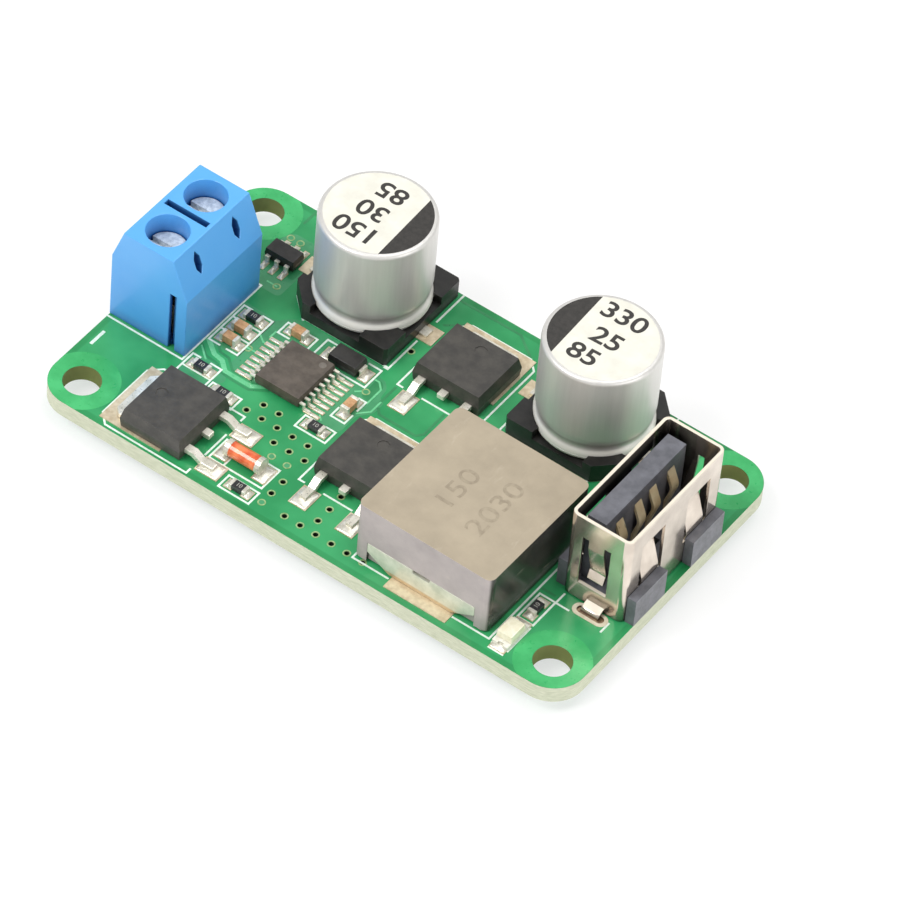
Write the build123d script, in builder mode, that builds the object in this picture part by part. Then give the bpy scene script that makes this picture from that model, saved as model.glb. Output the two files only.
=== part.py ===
from build123d import *
import os

os.makedirs("parts", exist_ok=True)

# Frame: millimetres, +Z up, origin at the centre of the four mounting holes on the board's underside.
# +X runs along the board from the screw terminal to the upright socket, +Y across it.

# Circuit board
board_length = 52.0
board_width = 30.0
board_thickness = 1.6
board_corner_radius = 3.0
mount_hole_pitch_x = 46.3
mount_hole_pitch_y = 24.3
mount_hole_diameter = 3.2
via_diameter = 0.55
via_pitch = 1.53
via_sides = 6
pin_hole_sides = 8
pin_drop = 1.2
solder_cone_height = 0.75
solder_cone_flare = 0.55
solder_cone_tip = 0.17
land_thickness = 0.08
land_top = board_thickness + land_thickness

# Clearances
hole_clearance = 0.15
seat_clearance = 0.02
running_clearance = 0.1

# Screw terminal, two poles side by side along Y, wire entries towards -X
terminal_x = -22.45
terminal_y = 0.1
terminal_pitch = 5.0
terminal_height = 10.0
terminal_front = -26.05
terminal_back = -18.45
terminal_top_front = -24.95
terminal_top_back = -20.0
terminal_front_knee = 6.8
terminal_back_knee = 6.2
terminal_floor_thickness = 0.5
chamber_length = 4.9
chamber_width = 4.2
chamber_roof = 6.75
screw_well_diameter = 3.6
screw_head_diameter = 3.3
screw_head_height = 1.0
screw_shelf_thickness = 0.35
screw_shank_diameter = 2.5
screw_slot_width = 0.5
screw_slot_depth = 0.5
wire_entry_width = 3.2
wire_entry_bottom = 0.95
wire_entry_height = 2.8
clamp_length = 3.0
clamp_wall = 0.5
clamp_top_wall = 0.9
clamp_height = 4.0
clamp_corner = 0.3
contact_tongue_height = 3.0
contact_thickness = 0.6
contact_width = 2.6
contact_front = -24.4
contact_leg_back = -20.05
contact_pin_width = 1.0
divider_slot_length = 4.2
divider_slot_width = 0.58
divider_slot_depth = 2.0
vent_length = 2.2
vent_width = 0.72
vent_depth = 0.9
dovetail_x = -19.8
dovetail_width = 0.65
dovetail_depth = 0.5
dovetail_height = 6.2

# Aluminium electrolytic capacitors
capacitor_diameter = 9.85
capacitor_height = 10.35
capacitor_rim_radius = 0.35
capacitor_base_side = 10.3
capacitor_base_height = 1.85
capacitor_base_chamfer = 1.9
capacitor_base_corner = 0.25
capacitor_post_length = 2.7
capacitor_seat_height = 1.05
capacitor_bead_swell = 0.06
capacitor_bead_round = 0.3
capacitor_bead_height = 0.75
capacitor_groove_height = 2.35
capacitor_groove_depth = 0.32
capacitor_groove_run = 0.85
capacitor_tab_width = 1.0
capacitor_tab_thickness = 0.2
capacitor_tab_reach = 5.9
capacitor_land_length = 3.6
capacitor_land_width = 1.9
input_capacitor_x = -10.45
input_capacitor_y = 9.62
output_capacitor_x = 11.38
output_capacitor_y = 9.95

# Moulded power inductor
inductor_x = 11.15
inductor_y = -6.58
inductor_turn = -0.5
inductor_length = 13.35
inductor_width = 12.95
inductor_height = 6.15
inductor_gap = 0.1
inductor_corner_radius = 0.65
inductor_strap_width = 10.4
inductor_strap_foot_width = 6.0
inductor_strap_height = 2.2
inductor_strap_thickness = 0.3
inductor_foot_length = 2.6
inductor_land_length = 3.5
inductor_notch_width = 1.64
inductor_notch_depth = 0.35

# Power transistors, body length counted along the leads
transistor_length = 6.0
transistor_width = 6.6
transistor_seam = 1.0
transistor_height = 2.05
transistor_draft = 13.0
transistor_lead_pitch = 4.57
transistor_lead_width = 0.7
transistor_lead_thickness = 0.45
transistor_lead_reach = 5.8
transistor_foot = 1.1
transistor_stub = 0.7
transistor_tab_width = 5.3
transistor_tab_reach = 4.1
transistor_tab_thickness = 0.5
transistor_dimple_diameter = 1.1
transistor_dimple_depth = 0.06
transistor_dimple_sides = 8
transistor_places = [
    (-14.85, -10.85, 0),
    (0.45, 7.75, -90),
    (0.45, -5.45, -90),
]

# Controller and the small six-leg chip
controller_x = -10.15
controller_y = -1.15
controller_width = 4.4
controller_length = 5.0
controller_height = 1.05
controller_span = 6.5
controller_pitch = 0.65
controller_leads_per_side = 8
controller_lead_width = 0.24
controller_lead_thickness = 0.15
sensor_x = -18.65
sensor_y = 8.75
sensor_width = 1.6
sensor_length = 2.9
sensor_height = 1.15
sensor_span = 2.85
sensor_pitch = 0.95
sensor_leads_per_side = 3
sensor_lead_width = 0.4
sensor_lead_thickness = 0.15

# Diodes and the lamp
flat_diode_x = -7.75
flat_diode_y = 2.7
flat_diode_length = 2.8
flat_diode_width = 1.7
flat_diode_height = 1.1
flat_diode_span = 3.8
flat_diode_lead_width = 0.9
flat_diode_lead_thickness = 0.15
glass_diode_x = -7.7
glass_diode_y = -10.95
glass_diode_length = 3.5
glass_diode_diameter = 1.4
glass_diode_cap_length = 0.45
glass_diode_cap_diameter = 1.5
glass_diode_sides = 16
lamp_x = 19.1
lamp_y = -12.15
lamp_length = 3.0
lamp_width = 1.5
lamp_plate = 0.35
lamp_height = 1.0
lamp_lens_length = 2.0
lamp_notch_depth = 0.25
lamp_notch_width = 0.5

# Chip resistors and chip capacitors: centre x, centre y, turn
chip_length = 1.6
chip_width = 0.8
chip_end_length = 0.3
resistor_height = 0.45
chip_capacitor_height = 0.75
resistor_places = [
    (-6.4, -13.48, 0),
    (-5.6, -4.48, 0),
    (-16.6, -5.05, 0),
    (-13.5, -6.3, 0),
    (-16.6, 1.9, 0),
    (19.12, -8.68, 90),
]
chip_capacitor_places = [
    (-16.6, 0.3, 0),
    (-16.6, -1.25, 0),
    (-12.7, 2.8, 0),
    (-4.78, -1.0, 90),
]
chip_land_length = 0.8
chip_land_width = 1.0
chip_land_offset = 0.85

# Upright socket
socket_x = 22.3
socket_y = 0.8
shell_width = 5.7
shell_length = 13.1
shell_wall = 0.3
shell_corner_radius = 0.6
shell_foot = 0.1
shell_top = 9.3
shell_leg_offset = 0.35
shell_leg_width = 1.7
shell_leg_jog = 0.8
shell_leg_slot_length = 2.7
shell_leg_slot_width = 0.9
broad_finger_offset = 3.1
broad_finger_width = 2.3
broad_window_width = 3.1
broad_window_bottom = 2.45
broad_window_top = 7.45
broad_finger_bow = 0.75
broad_finger_bow_behind_tongue = 0.35
side_finger_offset = -0.2
side_window_width = 2.65
side_window_bottom = 1.95
side_window_top = 7.2
side_finger_width = 1.5
side_finger_bow = 0.7
foot_offset = 3.95
foot_width = 4.3
foot_height = 2.85
foot_outer = 3.7
foot_neck_height = 1.0
foot_neck_width = 3.6
insulator_base_height = 1.5
tongue_thickness = 1.75
tongue_back_gap = 0.62
tongue_length = 10.9
tongue_top = 8.6
socket_contact_offsets = (-3.5, -1.0, 1.0, 3.5)
socket_contact_width = 0.9
socket_contact_thickness = 0.25
socket_contact_tip = 7.4
socket_contact_bow = 0.7
socket_pin_width = 0.6
socket_pin_hole_diameter = 1.0


def on_board(x, y, turn=0.0, lift=board_thickness):
    """A placing plane on the board's top face, turned about +Z."""
    return Plane((x, y, lift)).rotated((0, 0, turn))


def lifted(place, height):
    """The same placing plane, moved up along its normal."""
    return place.offset(height)


def upright(place, across=0.0):
    """A plane that stands along a placing plane's x axis, with its own y axis up."""
    return Plane(place.origin + place.y_dir * across, x_dir=place.x_dir, z_dir=place.y_dir * -1)


def save(part, name):
    """Label a finished piece and write it under its own name."""
    part.label = name
    export_step(part, f"parts/{name}.step")


def bent_strip(place, route, thickness, width, radius=0.0, across=0.0):
    """A flat strip that follows a side-view route, with sharp bends or bends of one radius."""
    with BuildPart(mode=Mode.PRIVATE) as strip:
        with BuildSketch(upright(place, across)):
            with BuildLine() as centre_line:
                if radius:
                    FilletPolyline(*route, radius=radius)
                else:
                    Polyline(*route)
            trace(centre_line.line, line_width=thickness)
        extrude(amount=width / 2, both=True)
    return strip.part


def block(place, size_x, size_y, bottom, top, x=0.0, y=0.0):
    """A plain block on a placing plane, between two heights."""
    with BuildPart(mode=Mode.PRIVATE) as piece:
        with BuildSketch(lifted(place, bottom)):
            with Locations((x, y)):
                Rectangle(size_x, size_y)
        extrude(amount=top - bottom)
    return piece.part


# Where the pins go through the board
pole_offsets = (-terminal_pitch / 2, terminal_pitch / 2)
contact_leg_x = contact_leg_back - contact_thickness / 2
terminal_pin_points = [(contact_leg_x, terminal_y + offset) for offset in pole_offsets]
terminal_pin_hole_diameter = contact_pin_width + 2 * hole_clearance
tongue_back = socket_x - shell_width / 2 + shell_wall + tongue_back_gap
tongue_front = tongue_back + tongue_thickness
socket_contact_x = tongue_front - socket_contact_thickness / 2
socket_pin_points = [(socket_contact_x, socket_y + offset) for offset in socket_contact_offsets]
shell_leg_y = shell_length / 2 + shell_leg_jog - shell_wall / 2
shell_leg_points = [(socket_x + shell_leg_offset, socket_y + side * shell_leg_y) for side in (-1, 1)]

# Runs of plated vias: first x, first y, count, step x, step y
via_runs = [
    (-11.09, -6.30, 5, via_pitch, 0),
    (-10.35, -5.01, 2, via_pitch, 0),
    (-7.29, -7.73, 3, via_pitch, 0),
    (-6.53, -9.02, 2, via_pitch, 0),
    (-4.20, -12.14, 2, 0, via_pitch),
    (-1.95, -13.41, 6, via_pitch, 0),
    (0.39, -12.13, 2, 0, via_pitch),
    (0.30, -8.96, 1, 0, 0),
    (-4.67, 7.22, 1, 0, 0),
    (-17.36, 6.05, 1, 0, 0),
    (-19.75, 11.15, 2, 0.98, 0),
]
via_points = [
    (x + step_x * index, y + step_y * index)
    for x, y, count, step_x, step_y in via_runs
    for index in range(count)
]

# Circuit board, with every hole that it has
with BuildPart() as circuit_board:
    with BuildSketch(Plane.XY):
        RectangleRounded(board_length, board_width, board_corner_radius)
        with GridLocations(mount_hole_pitch_x, mount_hole_pitch_y, 2, 2):
            Circle(mount_hole_diameter / 2, mode=Mode.SUBTRACT)
        with Locations(*via_points):
            RegularPolygon(via_diameter / 2, via_sides, mode=Mode.SUBTRACT)
        with Locations(*terminal_pin_points):
            RegularPolygon(terminal_pin_hole_diameter / 2, pin_hole_sides, major_radius=False, mode=Mode.SUBTRACT)
        with Locations(*socket_pin_points):
            RegularPolygon(socket_pin_hole_diameter / 2, pin_hole_sides, major_radius=False, mode=Mode.SUBTRACT)
        with Locations(*shell_leg_points):
            Rectangle(shell_leg_slot_length, shell_leg_slot_width, mode=Mode.SUBTRACT)
    extrude(amount=board_thickness)
save(circuit_board.part, "circuit_board")


def solder_lands():
    """Every tinned land on the board's top: centre x, centre y, size x, size y."""
    lands = []
    for x, y, turn in transistor_places:
        place = on_board(x, y, turn)
        swap = turn % 180 != 0
        spots = [(-1.9, 0.0, 6.0, 6.9)]
        spots += [(5.45, side * transistor_lead_pitch / 2, 2.2, 1.7) for side in (-1, 1)]
        for local_x, local_y, size_x, size_y in spots:
            centre = place.from_local_coords((local_x, local_y, 0))
            sizes = (size_y, size_x) if swap else (size_x, size_y)
            lands.append((centre.X, centre.Y) + sizes)
    for x, y in ((input_capacitor_x, input_capacitor_y), (output_capacitor_x, output_capacitor_y)):
        offset = capacitor_tab_reach - capacitor_land_length / 2 + 0.8
        lands += [(x + side * offset, y, capacitor_land_length, capacitor_land_width) for side in (-1, 1)]
    for x, y, turn in resistor_places + chip_capacitor_places:
        for side in (-1, 1):
            if turn:
                lands.append((x, y + side * chip_land_offset, chip_land_width, chip_land_length))
            else:
                lands.append((x + side * chip_land_offset, y, chip_land_length, chip_land_width))
    for side in (-1, 1):
        for index in range(controller_leads_per_side):
            y = controller_y + (index - (controller_leads_per_side - 1) / 2) * controller_pitch
            lands.append((controller_x + side * (controller_span / 2 + 0.15), y, 1.5, 0.36))
        for index in range(sensor_leads_per_side):
            x = sensor_x + (index - (sensor_leads_per_side - 1) / 2) * sensor_pitch
            lands.append((x, sensor_y + side * (sensor_span / 2 + 0.05), 0.5, 0.95))
        lands.append((flat_diode_x + side * flat_diode_span / 2, flat_diode_y, 0.9, 1.4))
        lands.append((glass_diode_x + side * (glass_diode_length / 2 + 0.15), glass_diode_y, 1.3, 1.9))
        lands.append((lamp_x, lamp_y + side * (lamp_length / 2 - 0.1), 1.45, 1.1))
        land_middle = inductor_length / 2 + 1.15 - inductor_land_length / 2
        lands.append((inductor_x + 0.25, inductor_y + side * land_middle, 5.95, inductor_land_length))
    return lands


with BuildPart() as tinned_lands:
    for land_x, land_y, land_size_x, land_size_y in solder_lands():
        with BuildSketch(Plane.XY.offset(board_thickness)):
            with Locations((land_x, land_y)):
                Rectangle(land_size_x, land_size_y)
        extrude(amount=land_thickness)
save(tinned_lands.part, "tinned_lands")


# Screw terminal housing: a bevelled block with a screw well, a chamber and a wire entry for each pole
with BuildPart() as terminal_housing:
    with BuildSketch(Plane.XZ.offset(-terminal_y)):
        with BuildLine():
            Polyline(
                (terminal_front, board_thickness),
                (terminal_back, board_thickness),
                (terminal_back, board_thickness + terminal_back_knee),
                (terminal_top_back, board_thickness + terminal_height),
                (terminal_top_front, board_thickness + terminal_height),
                (terminal_front, board_thickness + terminal_front_knee),
                close=True,
            )
        make_face()
    extrude(amount=terminal_pitch, both=True)
    pole_points = [(terminal_x, terminal_y + offset) for offset in pole_offsets]
    with BuildSketch(Plane.XY.offset(board_thickness)):
        with Locations(*pole_points):
            Rectangle(chamber_length, chamber_width)
    extrude(amount=chamber_roof, mode=Mode.SUBTRACT)
    with BuildSketch(Plane.XY.offset(board_thickness + terminal_height)):
        with Locations(*pole_points):
            Circle(screw_well_diameter / 2)
    extrude(amount=-(terminal_height - chamber_roof - screw_shelf_thickness), mode=Mode.SUBTRACT)
    with BuildSketch(Plane.XY.offset(board_thickness + chamber_roof)):
        with Locations(*pole_points):
            RegularPolygon(screw_shank_diameter / 2 + running_clearance, pin_hole_sides, major_radius=False)
    extrude(amount=screw_shelf_thickness, mode=Mode.SUBTRACT)
    with BuildSketch(Plane.YZ.offset(terminal_front)):
        for offset in pole_offsets:
            with Locations((terminal_y + offset, board_thickness + wire_entry_bottom + wire_entry_height / 2)):
                Rectangle(wire_entry_width, wire_entry_height)
    extrude(amount=terminal_x - chamber_length / 2 - terminal_front + seat_clearance, mode=Mode.SUBTRACT)
    with BuildSketch(Plane.XY.offset(board_thickness + terminal_height)):
        with Locations((terminal_x, terminal_y)):
            Rectangle(divider_slot_length, divider_slot_width)
    extrude(amount=-divider_slot_depth, mode=Mode.SUBTRACT)
    for offset in pole_offsets:
        bevel = Plane(
            (
                (terminal_top_back + terminal_back) / 2,
                terminal_y + offset,
                board_thickness + (terminal_height + terminal_back_knee) / 2 + 0.3,
            ),
            x_dir=(0, 1, 0),
            z_dir=(terminal_height - terminal_back_knee, 0, terminal_back - terminal_top_back),
        )
        with BuildSketch(bevel):
            with BuildLine():
                Polyline(
                    (0, vent_length / 2),
                    (vent_width / 2, vent_length / 5),
                    (vent_width / 2, -vent_length / 5),
                    (0, -vent_length / 2),
                    (-vent_width / 2, -vent_length / 5),
                    (-vent_width / 2, vent_length / 5),
                    close=True,
                )
            make_face()
        extrude(amount=-vent_depth, mode=Mode.SUBTRACT)
    with BuildSketch(Plane.XY.offset(board_thickness)):
        with Locations((dovetail_x, terminal_y - terminal_pitch + dovetail_depth / 2)):
            Rectangle(dovetail_width, dovetail_depth)
    extrude(amount=dovetail_height, mode=Mode.SUBTRACT)
    with BuildSketch(Plane.XY.offset(board_thickness)):
        with Locations((dovetail_x, terminal_y + terminal_pitch + dovetail_depth / 2 - running_clearance)):
            Rectangle(dovetail_width - 2 * running_clearance, dovetail_depth)
    extrude(amount=dovetail_height - running_clearance)
save(terminal_housing.part, "terminal_housing")

# Floor plate that closes the chambers from below, with a slot for each contact's leg
with BuildPart() as terminal_floor:
    for offset in pole_offsets:
        with BuildSketch(Plane.XY.offset(board_thickness)):
            with Locations((terminal_x, terminal_y + offset)):
                Rectangle(chamber_length - 2 * seat_clearance, chamber_width - 2 * seat_clearance)
            with Locations((contact_leg_x, terminal_y + offset)):
                Rectangle(
                    contact_thickness + 2 * running_clearance,
                    contact_width + 2 * running_clearance,
                    mode=Mode.SUBTRACT,
                )
        extrude(amount=terminal_floor_thickness)
save(terminal_floor.part, "terminal_floor")


def terminal_pole(number, offset):
    """One pole's screw, rising clamp and fixed contact."""
    place = on_board(terminal_x, terminal_y + offset)
    head_bottom = chamber_roof + screw_shelf_thickness + seat_clearance
    head_top = head_bottom + screw_head_height
    tongue_top_height = contact_tongue_height + contact_thickness
    with BuildPart() as screw:
        with BuildSketch(lifted(place, tongue_top_height + seat_clearance)):
            Circle(screw_shank_diameter / 2)
        extrude(amount=head_bottom - tongue_top_height - seat_clearance)
        with BuildSketch(lifted(place, head_bottom)):
            Circle(screw_head_diameter / 2)
        extrude(amount=screw_head_height)
        with BuildSketch(lifted(place, head_top)):
            Rectangle(screw_head_diameter, screw_slot_width)
        extrude(amount=-screw_slot_depth, mode=Mode.SUBTRACT)
    save(screw.part, f"terminal_screw_{number}")

    clamp_bottom = terminal_floor_thickness + running_clearance
    clamp_width = chamber_width - 2 * running_clearance
    with BuildPart() as clamp:
        with BuildSketch(Plane.YZ.offset(terminal_x)):
            with Locations((terminal_y + offset, board_thickness + clamp_bottom + clamp_height / 2)):
                Rectangle(clamp_width, clamp_height)
            window_bottom = board_thickness + clamp_bottom + clamp_wall
            window_top = board_thickness + clamp_bottom + clamp_height - clamp_top_wall
            with Locations((terminal_y + offset, (window_bottom + window_top) / 2)):
                Rectangle(clamp_width - 2 * clamp_wall, window_top - window_bottom, mode=Mode.SUBTRACT)
        extrude(amount=clamp_length / 2, both=True)
        chamfer(clamp.edges().filter_by(Axis.X).sort_by_distance(clamp.part.center())[-4:], length=clamp_corner)
        with BuildSketch(lifted(place, clamp_bottom + clamp_height)):
            RegularPolygon(
                screw_shank_diameter / 2 + running_clearance / 2,
                pin_hole_sides,
                major_radius=False,
            )
        extrude(amount=-clamp_top_wall, mode=Mode.SUBTRACT)
    save(clamp.part, f"terminal_clamp_{number}")

    tongue_middle = contact_tongue_height + contact_thickness / 2
    leg_x = contact_leg_x - terminal_x
    with BuildPart() as contact:
        add(
            bent_strip(
                place,
                [
                    (contact_front - terminal_x, tongue_middle),
                    (leg_x, tongue_middle),
                    (leg_x, seat_clearance),
                ],
                contact_thickness,
                contact_width,
            )
        )
        with BuildSketch(lifted(place, seat_clearance)):
            with Locations((leg_x, 0)):
                Rectangle(contact_thickness, contact_pin_width)
        extrude(amount=-(board_thickness + pin_drop + seat_clearance))
    save(contact.part, f"terminal_contact_{number}")


for pole_number, pole_offset in enumerate(pole_offsets, start=1):
    terminal_pole(pole_number, pole_offset)


def capacitor(name, x, y, negative_side):
    """A can with a rolled groove between a base's four corner posts, with one flat tab out of each end."""
    place = on_board(x, y, lift=land_top)
    radius = capacitor_diameter / 2
    bead_radius = radius + capacitor_bead_swell
    top = capacitor_height - land_thickness
    with BuildPart() as can:
        with BuildSketch(upright(place)):
            with BuildLine():
                Polyline(
                    (0, top),
                    (0, capacitor_seat_height),
                    (bead_radius - capacitor_bead_round, capacitor_seat_height),
                    (bead_radius, capacitor_seat_height + capacitor_bead_round),
                    (bead_radius, capacitor_seat_height + capacitor_bead_height),
                    (radius - capacitor_groove_depth, capacitor_groove_height),
                    (radius, capacitor_groove_height + capacitor_groove_run),
                    (radius, top - capacitor_rim_radius),
                    (radius - capacitor_rim_radius, top),
                    close=True,
                )
            make_face()
        revolve(axis=Axis(place.origin, place.z_dir))
    save(can.part, f"{name}_capacitor_can")

    side = capacitor_base_side
    with BuildPart() as base:
        with BuildSketch(place):
            Rectangle(side, side)
        extrude(amount=capacitor_base_height)
        corners = base.edges().filter_by(Axis.Z).sort_by(Axis.X)
        bevelled = corners[-2:] if negative_side < 0 else corners[:2]
        square = corners[:2] if negative_side < 0 else corners[-2:]
        chamfer(bevelled, length=capacitor_base_chamfer)
        chamfer(square, length=capacitor_base_corner)
        with BuildSketch(lifted(place, capacitor_base_height)):
            Circle(bead_radius + seat_clearance)
            Rectangle(side - 2 * capacitor_post_length, side)
            Rectangle(side, side - 2 * capacitor_post_length)
        extrude(amount=-(capacitor_base_height - capacitor_seat_height), mode=Mode.SUBTRACT)
        with BuildSketch(place):
            Rectangle(side, capacitor_tab_width + 2 * seat_clearance)
        extrude(amount=capacitor_tab_thickness + seat_clearance, mode=Mode.SUBTRACT)
    save(base.part, f"{name}_capacitor_base")

    with BuildPart() as tabs:
        with BuildSketch(place):
            for direction in (-1, 1):
                with Locations((direction * (capacitor_tab_reach + 0.9) / 2, 0)):
                    Rectangle(capacitor_tab_reach - 0.9, capacitor_tab_width)
        extrude(amount=capacitor_tab_thickness)
    save(tabs.part, f"{name}_capacitor_tabs")


capacitor("input", input_capacitor_x, input_capacitor_y, 1)
capacitor("output", output_capacitor_x, output_capacitor_y, -1)


# Inductor: a pressed powder block between two folded straps
inductor_place = on_board(inductor_x, inductor_y, inductor_turn, lift=land_top)
inductor_top = inductor_height - land_thickness
strap_inset = inductor_strap_thickness + seat_clearance
with BuildPart() as inductor_body:
    with BuildSketch(lifted(inductor_place, inductor_gap)):
        RectangleRounded(inductor_width, inductor_length - 2 * seat_clearance, inductor_corner_radius)
    extrude(amount=inductor_top - inductor_gap)
    for direction in (-1, 1):
        edge_y = direction * inductor_length / 2
        with BuildSketch(upright(inductor_place, edge_y)):
            with Locations((0, inductor_strap_height / 2)):
                Rectangle(inductor_strap_width + 2 * seat_clearance, inductor_strap_height + 2 * seat_clearance)
        extrude(amount=direction * strap_inset, mode=Mode.SUBTRACT)
        with BuildSketch(lifted(inductor_place, inductor_gap)):
            with Locations((0, edge_y - direction * (inductor_foot_length + seat_clearance) / 2)):
                Rectangle(
                    inductor_strap_foot_width + 2 * seat_clearance,
                    inductor_foot_length + seat_clearance,
                )
        extrude(amount=strap_inset - inductor_gap, mode=Mode.SUBTRACT)
save(inductor_body.part, "inductor_body")

with BuildPart() as inductor_straps:
    for direction in (-1, 1):
        edge_y = direction * inductor_length / 2
        half_wide = inductor_strap_width / 2
        half_foot = inductor_strap_foot_width / 2
        with BuildSketch(upright(inductor_place, edge_y)):
            with BuildLine():
                Polyline(
                    (half_foot, 0),
                    (half_wide, inductor_strap_height * 0.55),
                    (half_wide, inductor_strap_height),
                    (-half_wide, inductor_strap_height),
                    (-half_wide, inductor_strap_height * 0.55),
                    (-half_foot, 0),
                    close=True,
                )
            make_face()
            with Locations((0, inductor_strap_height)):
                Rectangle(inductor_notch_width, 2 * inductor_notch_depth, mode=Mode.SUBTRACT)
        extrude(amount=direction * inductor_strap_thickness)
        with BuildSketch(inductor_place):
            with Locations((0, edge_y - direction * inductor_foot_length / 2)):
                Rectangle(inductor_strap_foot_width, inductor_foot_length)
        extrude(amount=inductor_strap_thickness)
save(inductor_straps.part, "inductor_straps")


def transistor(number, x, y, turn):
    """A power transistor lying on its metal tab, with two bent leads and a cropped middle one."""
    place = on_board(x, y, turn, lift=land_top)
    top = transistor_height - land_thickness
    seam = transistor_seam - land_thickness
    lead_middle = seam - transistor_lead_thickness / 2
    half = transistor_length / 2
    tab_front = half - 1.6
    with BuildPart() as body:
        with BuildSketch(lifted(place, seam)):
            Rectangle(transistor_length, transistor_width)
        extrude(amount=top - seam, taper=transistor_draft)
        with BuildSketch(lifted(place, seam)):
            Rectangle(transistor_length, transistor_width)
        extrude(amount=-(seam - seat_clearance), taper=transistor_draft * 0.4)
        with BuildSketch(lifted(place, seat_clearance)):
            with Locations((-half / 2 + tab_front / 2 - 1, 0)):
                Rectangle(
                    half + tab_front + 2 + 2 * seat_clearance,
                    transistor_tab_width + 2 * seat_clearance,
                )
        extrude(amount=transistor_tab_thickness, mode=Mode.SUBTRACT)
        for across in (-transistor_lead_pitch / 2, 0, transistor_lead_pitch / 2):
            add(
                block(
                    place,
                    1.6,
                    transistor_lead_width + 2 * seat_clearance,
                    lead_middle - transistor_lead_thickness / 2 - seat_clearance,
                    lead_middle + transistor_lead_thickness / 2 + seat_clearance,
                    x=half,
                    y=across,
                ),
                mode=Mode.SUBTRACT,
            )
        with BuildSketch(lifted(place, top)):
            with Locations((-1.5, 0.2)):
                RegularPolygon(transistor_dimple_diameter / 2, transistor_dimple_sides)
        extrude(amount=-transistor_dimple_depth, mode=Mode.SUBTRACT)
    save(body.part, f"transistor_{number}_body")

    with BuildPart() as tab:
        with BuildSketch(place):
            with Locations(((tab_front - transistor_tab_reach) / 2, 0)):
                Rectangle(tab_front + transistor_tab_reach, transistor_tab_width)
        extrude(amount=transistor_tab_thickness)
        tip_edges = tab.edges().filter_by(Axis.Z)
        tip = place.from_local_coords((-transistor_tab_reach, 0, 0))
        chamfer(tip_edges.sort_by_distance(tip)[:2], length=0.5)
    save(tab.part, f"transistor_{number}_tab")

    with BuildPart() as leads:
        for across in (-transistor_lead_pitch / 2, transistor_lead_pitch / 2):
            add(
                bent_strip(
                    place,
                    [
                        (half - 0.75, lead_middle),
                        (half + 0.75, lead_middle),
                        (transistor_lead_reach - transistor_foot - 0.15, transistor_lead_thickness / 2),
                        (transistor_lead_reach, transistor_lead_thickness / 2),
                    ],
                    transistor_lead_thickness,
                    transistor_lead_width,
                    across=across,
                )
            )
        add(
            block(
                place,
                0.75 + transistor_stub,
                transistor_lead_width,
                lead_middle - transistor_lead_thickness / 2,
                lead_middle + transistor_lead_thickness / 2,
                x=half + (transistor_stub - 0.75) / 2,
            )
        )
    save(leads.part, f"transistor_{number}_leads")


for transistor_number, (place_x, place_y, place_turn) in enumerate(transistor_places, start=1):
    transistor(transistor_number, place_x, place_y, place_turn)


def gull_wing_chip(name, x, y, turn, body_size, span, lead_size, pitch, count):
    """A moulded chip with gull-wing leads along two sides; the leads run along the plane's x axis."""
    width, length, height = body_size
    lead_width, lead_thickness = lead_size
    place = on_board(x, y, turn, lift=land_top)
    foot = (span - width) * 0.3
    stand_off = 0.08
    seam = stand_off + (height - stand_off) / 2
    with BuildPart() as body:
        with BuildSketch(lifted(place, seam)):
            Rectangle(width, length)
        extrude(amount=height - seam, taper=8)
        with BuildSketch(lifted(place, seam)):
            Rectangle(width, length)
        extrude(amount=-(seam - stand_off), taper=8)
    save(body.part, f"{name}_body")
    with BuildPart() as leads:
        for side in (-1, 1):
            route = [
                (side * (width / 2 + seat_clearance), seam),
                (side * (width / 2 + foot * 0.7), seam),
                (side * (span / 2 - foot), lead_thickness / 2),
                (side * span / 2, lead_thickness / 2),
            ]
            for index in range(count):
                across = (index - (count - 1) / 2) * pitch
                add(bent_strip(place, route, lead_thickness, lead_width, across=across))
    save(leads.part, f"{name}_leads")


gull_wing_chip(
    "controller",
    controller_x,
    controller_y,
    0,
    (controller_width, controller_length, controller_height),
    controller_span,
    (controller_lead_width, controller_lead_thickness),
    controller_pitch,
    controller_leads_per_side,
)
gull_wing_chip(
    "sensor",
    sensor_x,
    sensor_y,
    90,
    (sensor_width, sensor_length, sensor_height),
    sensor_span,
    (sensor_lead_width, sensor_lead_thickness),
    sensor_pitch,
    sensor_leads_per_side,
)
gull_wing_chip(
    "flat_diode",
    flat_diode_x,
    flat_diode_y,
    0,
    (flat_diode_length, flat_diode_width, flat_diode_height),
    flat_diode_span,
    (flat_diode_lead_width, flat_diode_lead_thickness),
    flat_diode_lead_width,
    1,
)

# Glass diode: a sealed tube between two metal end caps
glass_place = on_board(glass_diode_x, glass_diode_y, lift=land_top)
glass_axis_height = glass_diode_cap_diameter / 2
glass_tube_length = glass_diode_length - 2 * glass_diode_cap_length
with BuildPart() as glass_diode_tube:
    with BuildSketch(Plane((glass_diode_x, glass_diode_y, land_top + glass_axis_height), z_dir=(1, 0, 0))):
        RegularPolygon(glass_diode_diameter / 2, glass_diode_sides)
    extrude(amount=glass_tube_length / 2, both=True)
save(glass_diode_tube.part, "glass_diode_tube")

with BuildPart() as glass_diode_caps:
    for direction in (-1, 1):
        inner_face = glass_diode_x + direction * glass_tube_length / 2
        with BuildSketch(Plane((inner_face, glass_diode_y, land_top + glass_axis_height), z_dir=(1, 0, 0))):
            RegularPolygon(glass_diode_cap_diameter / 2, glass_diode_sides)
        extrude(amount=direction * glass_diode_cap_length)
save(glass_diode_caps.part, "glass_diode_caps")

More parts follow.
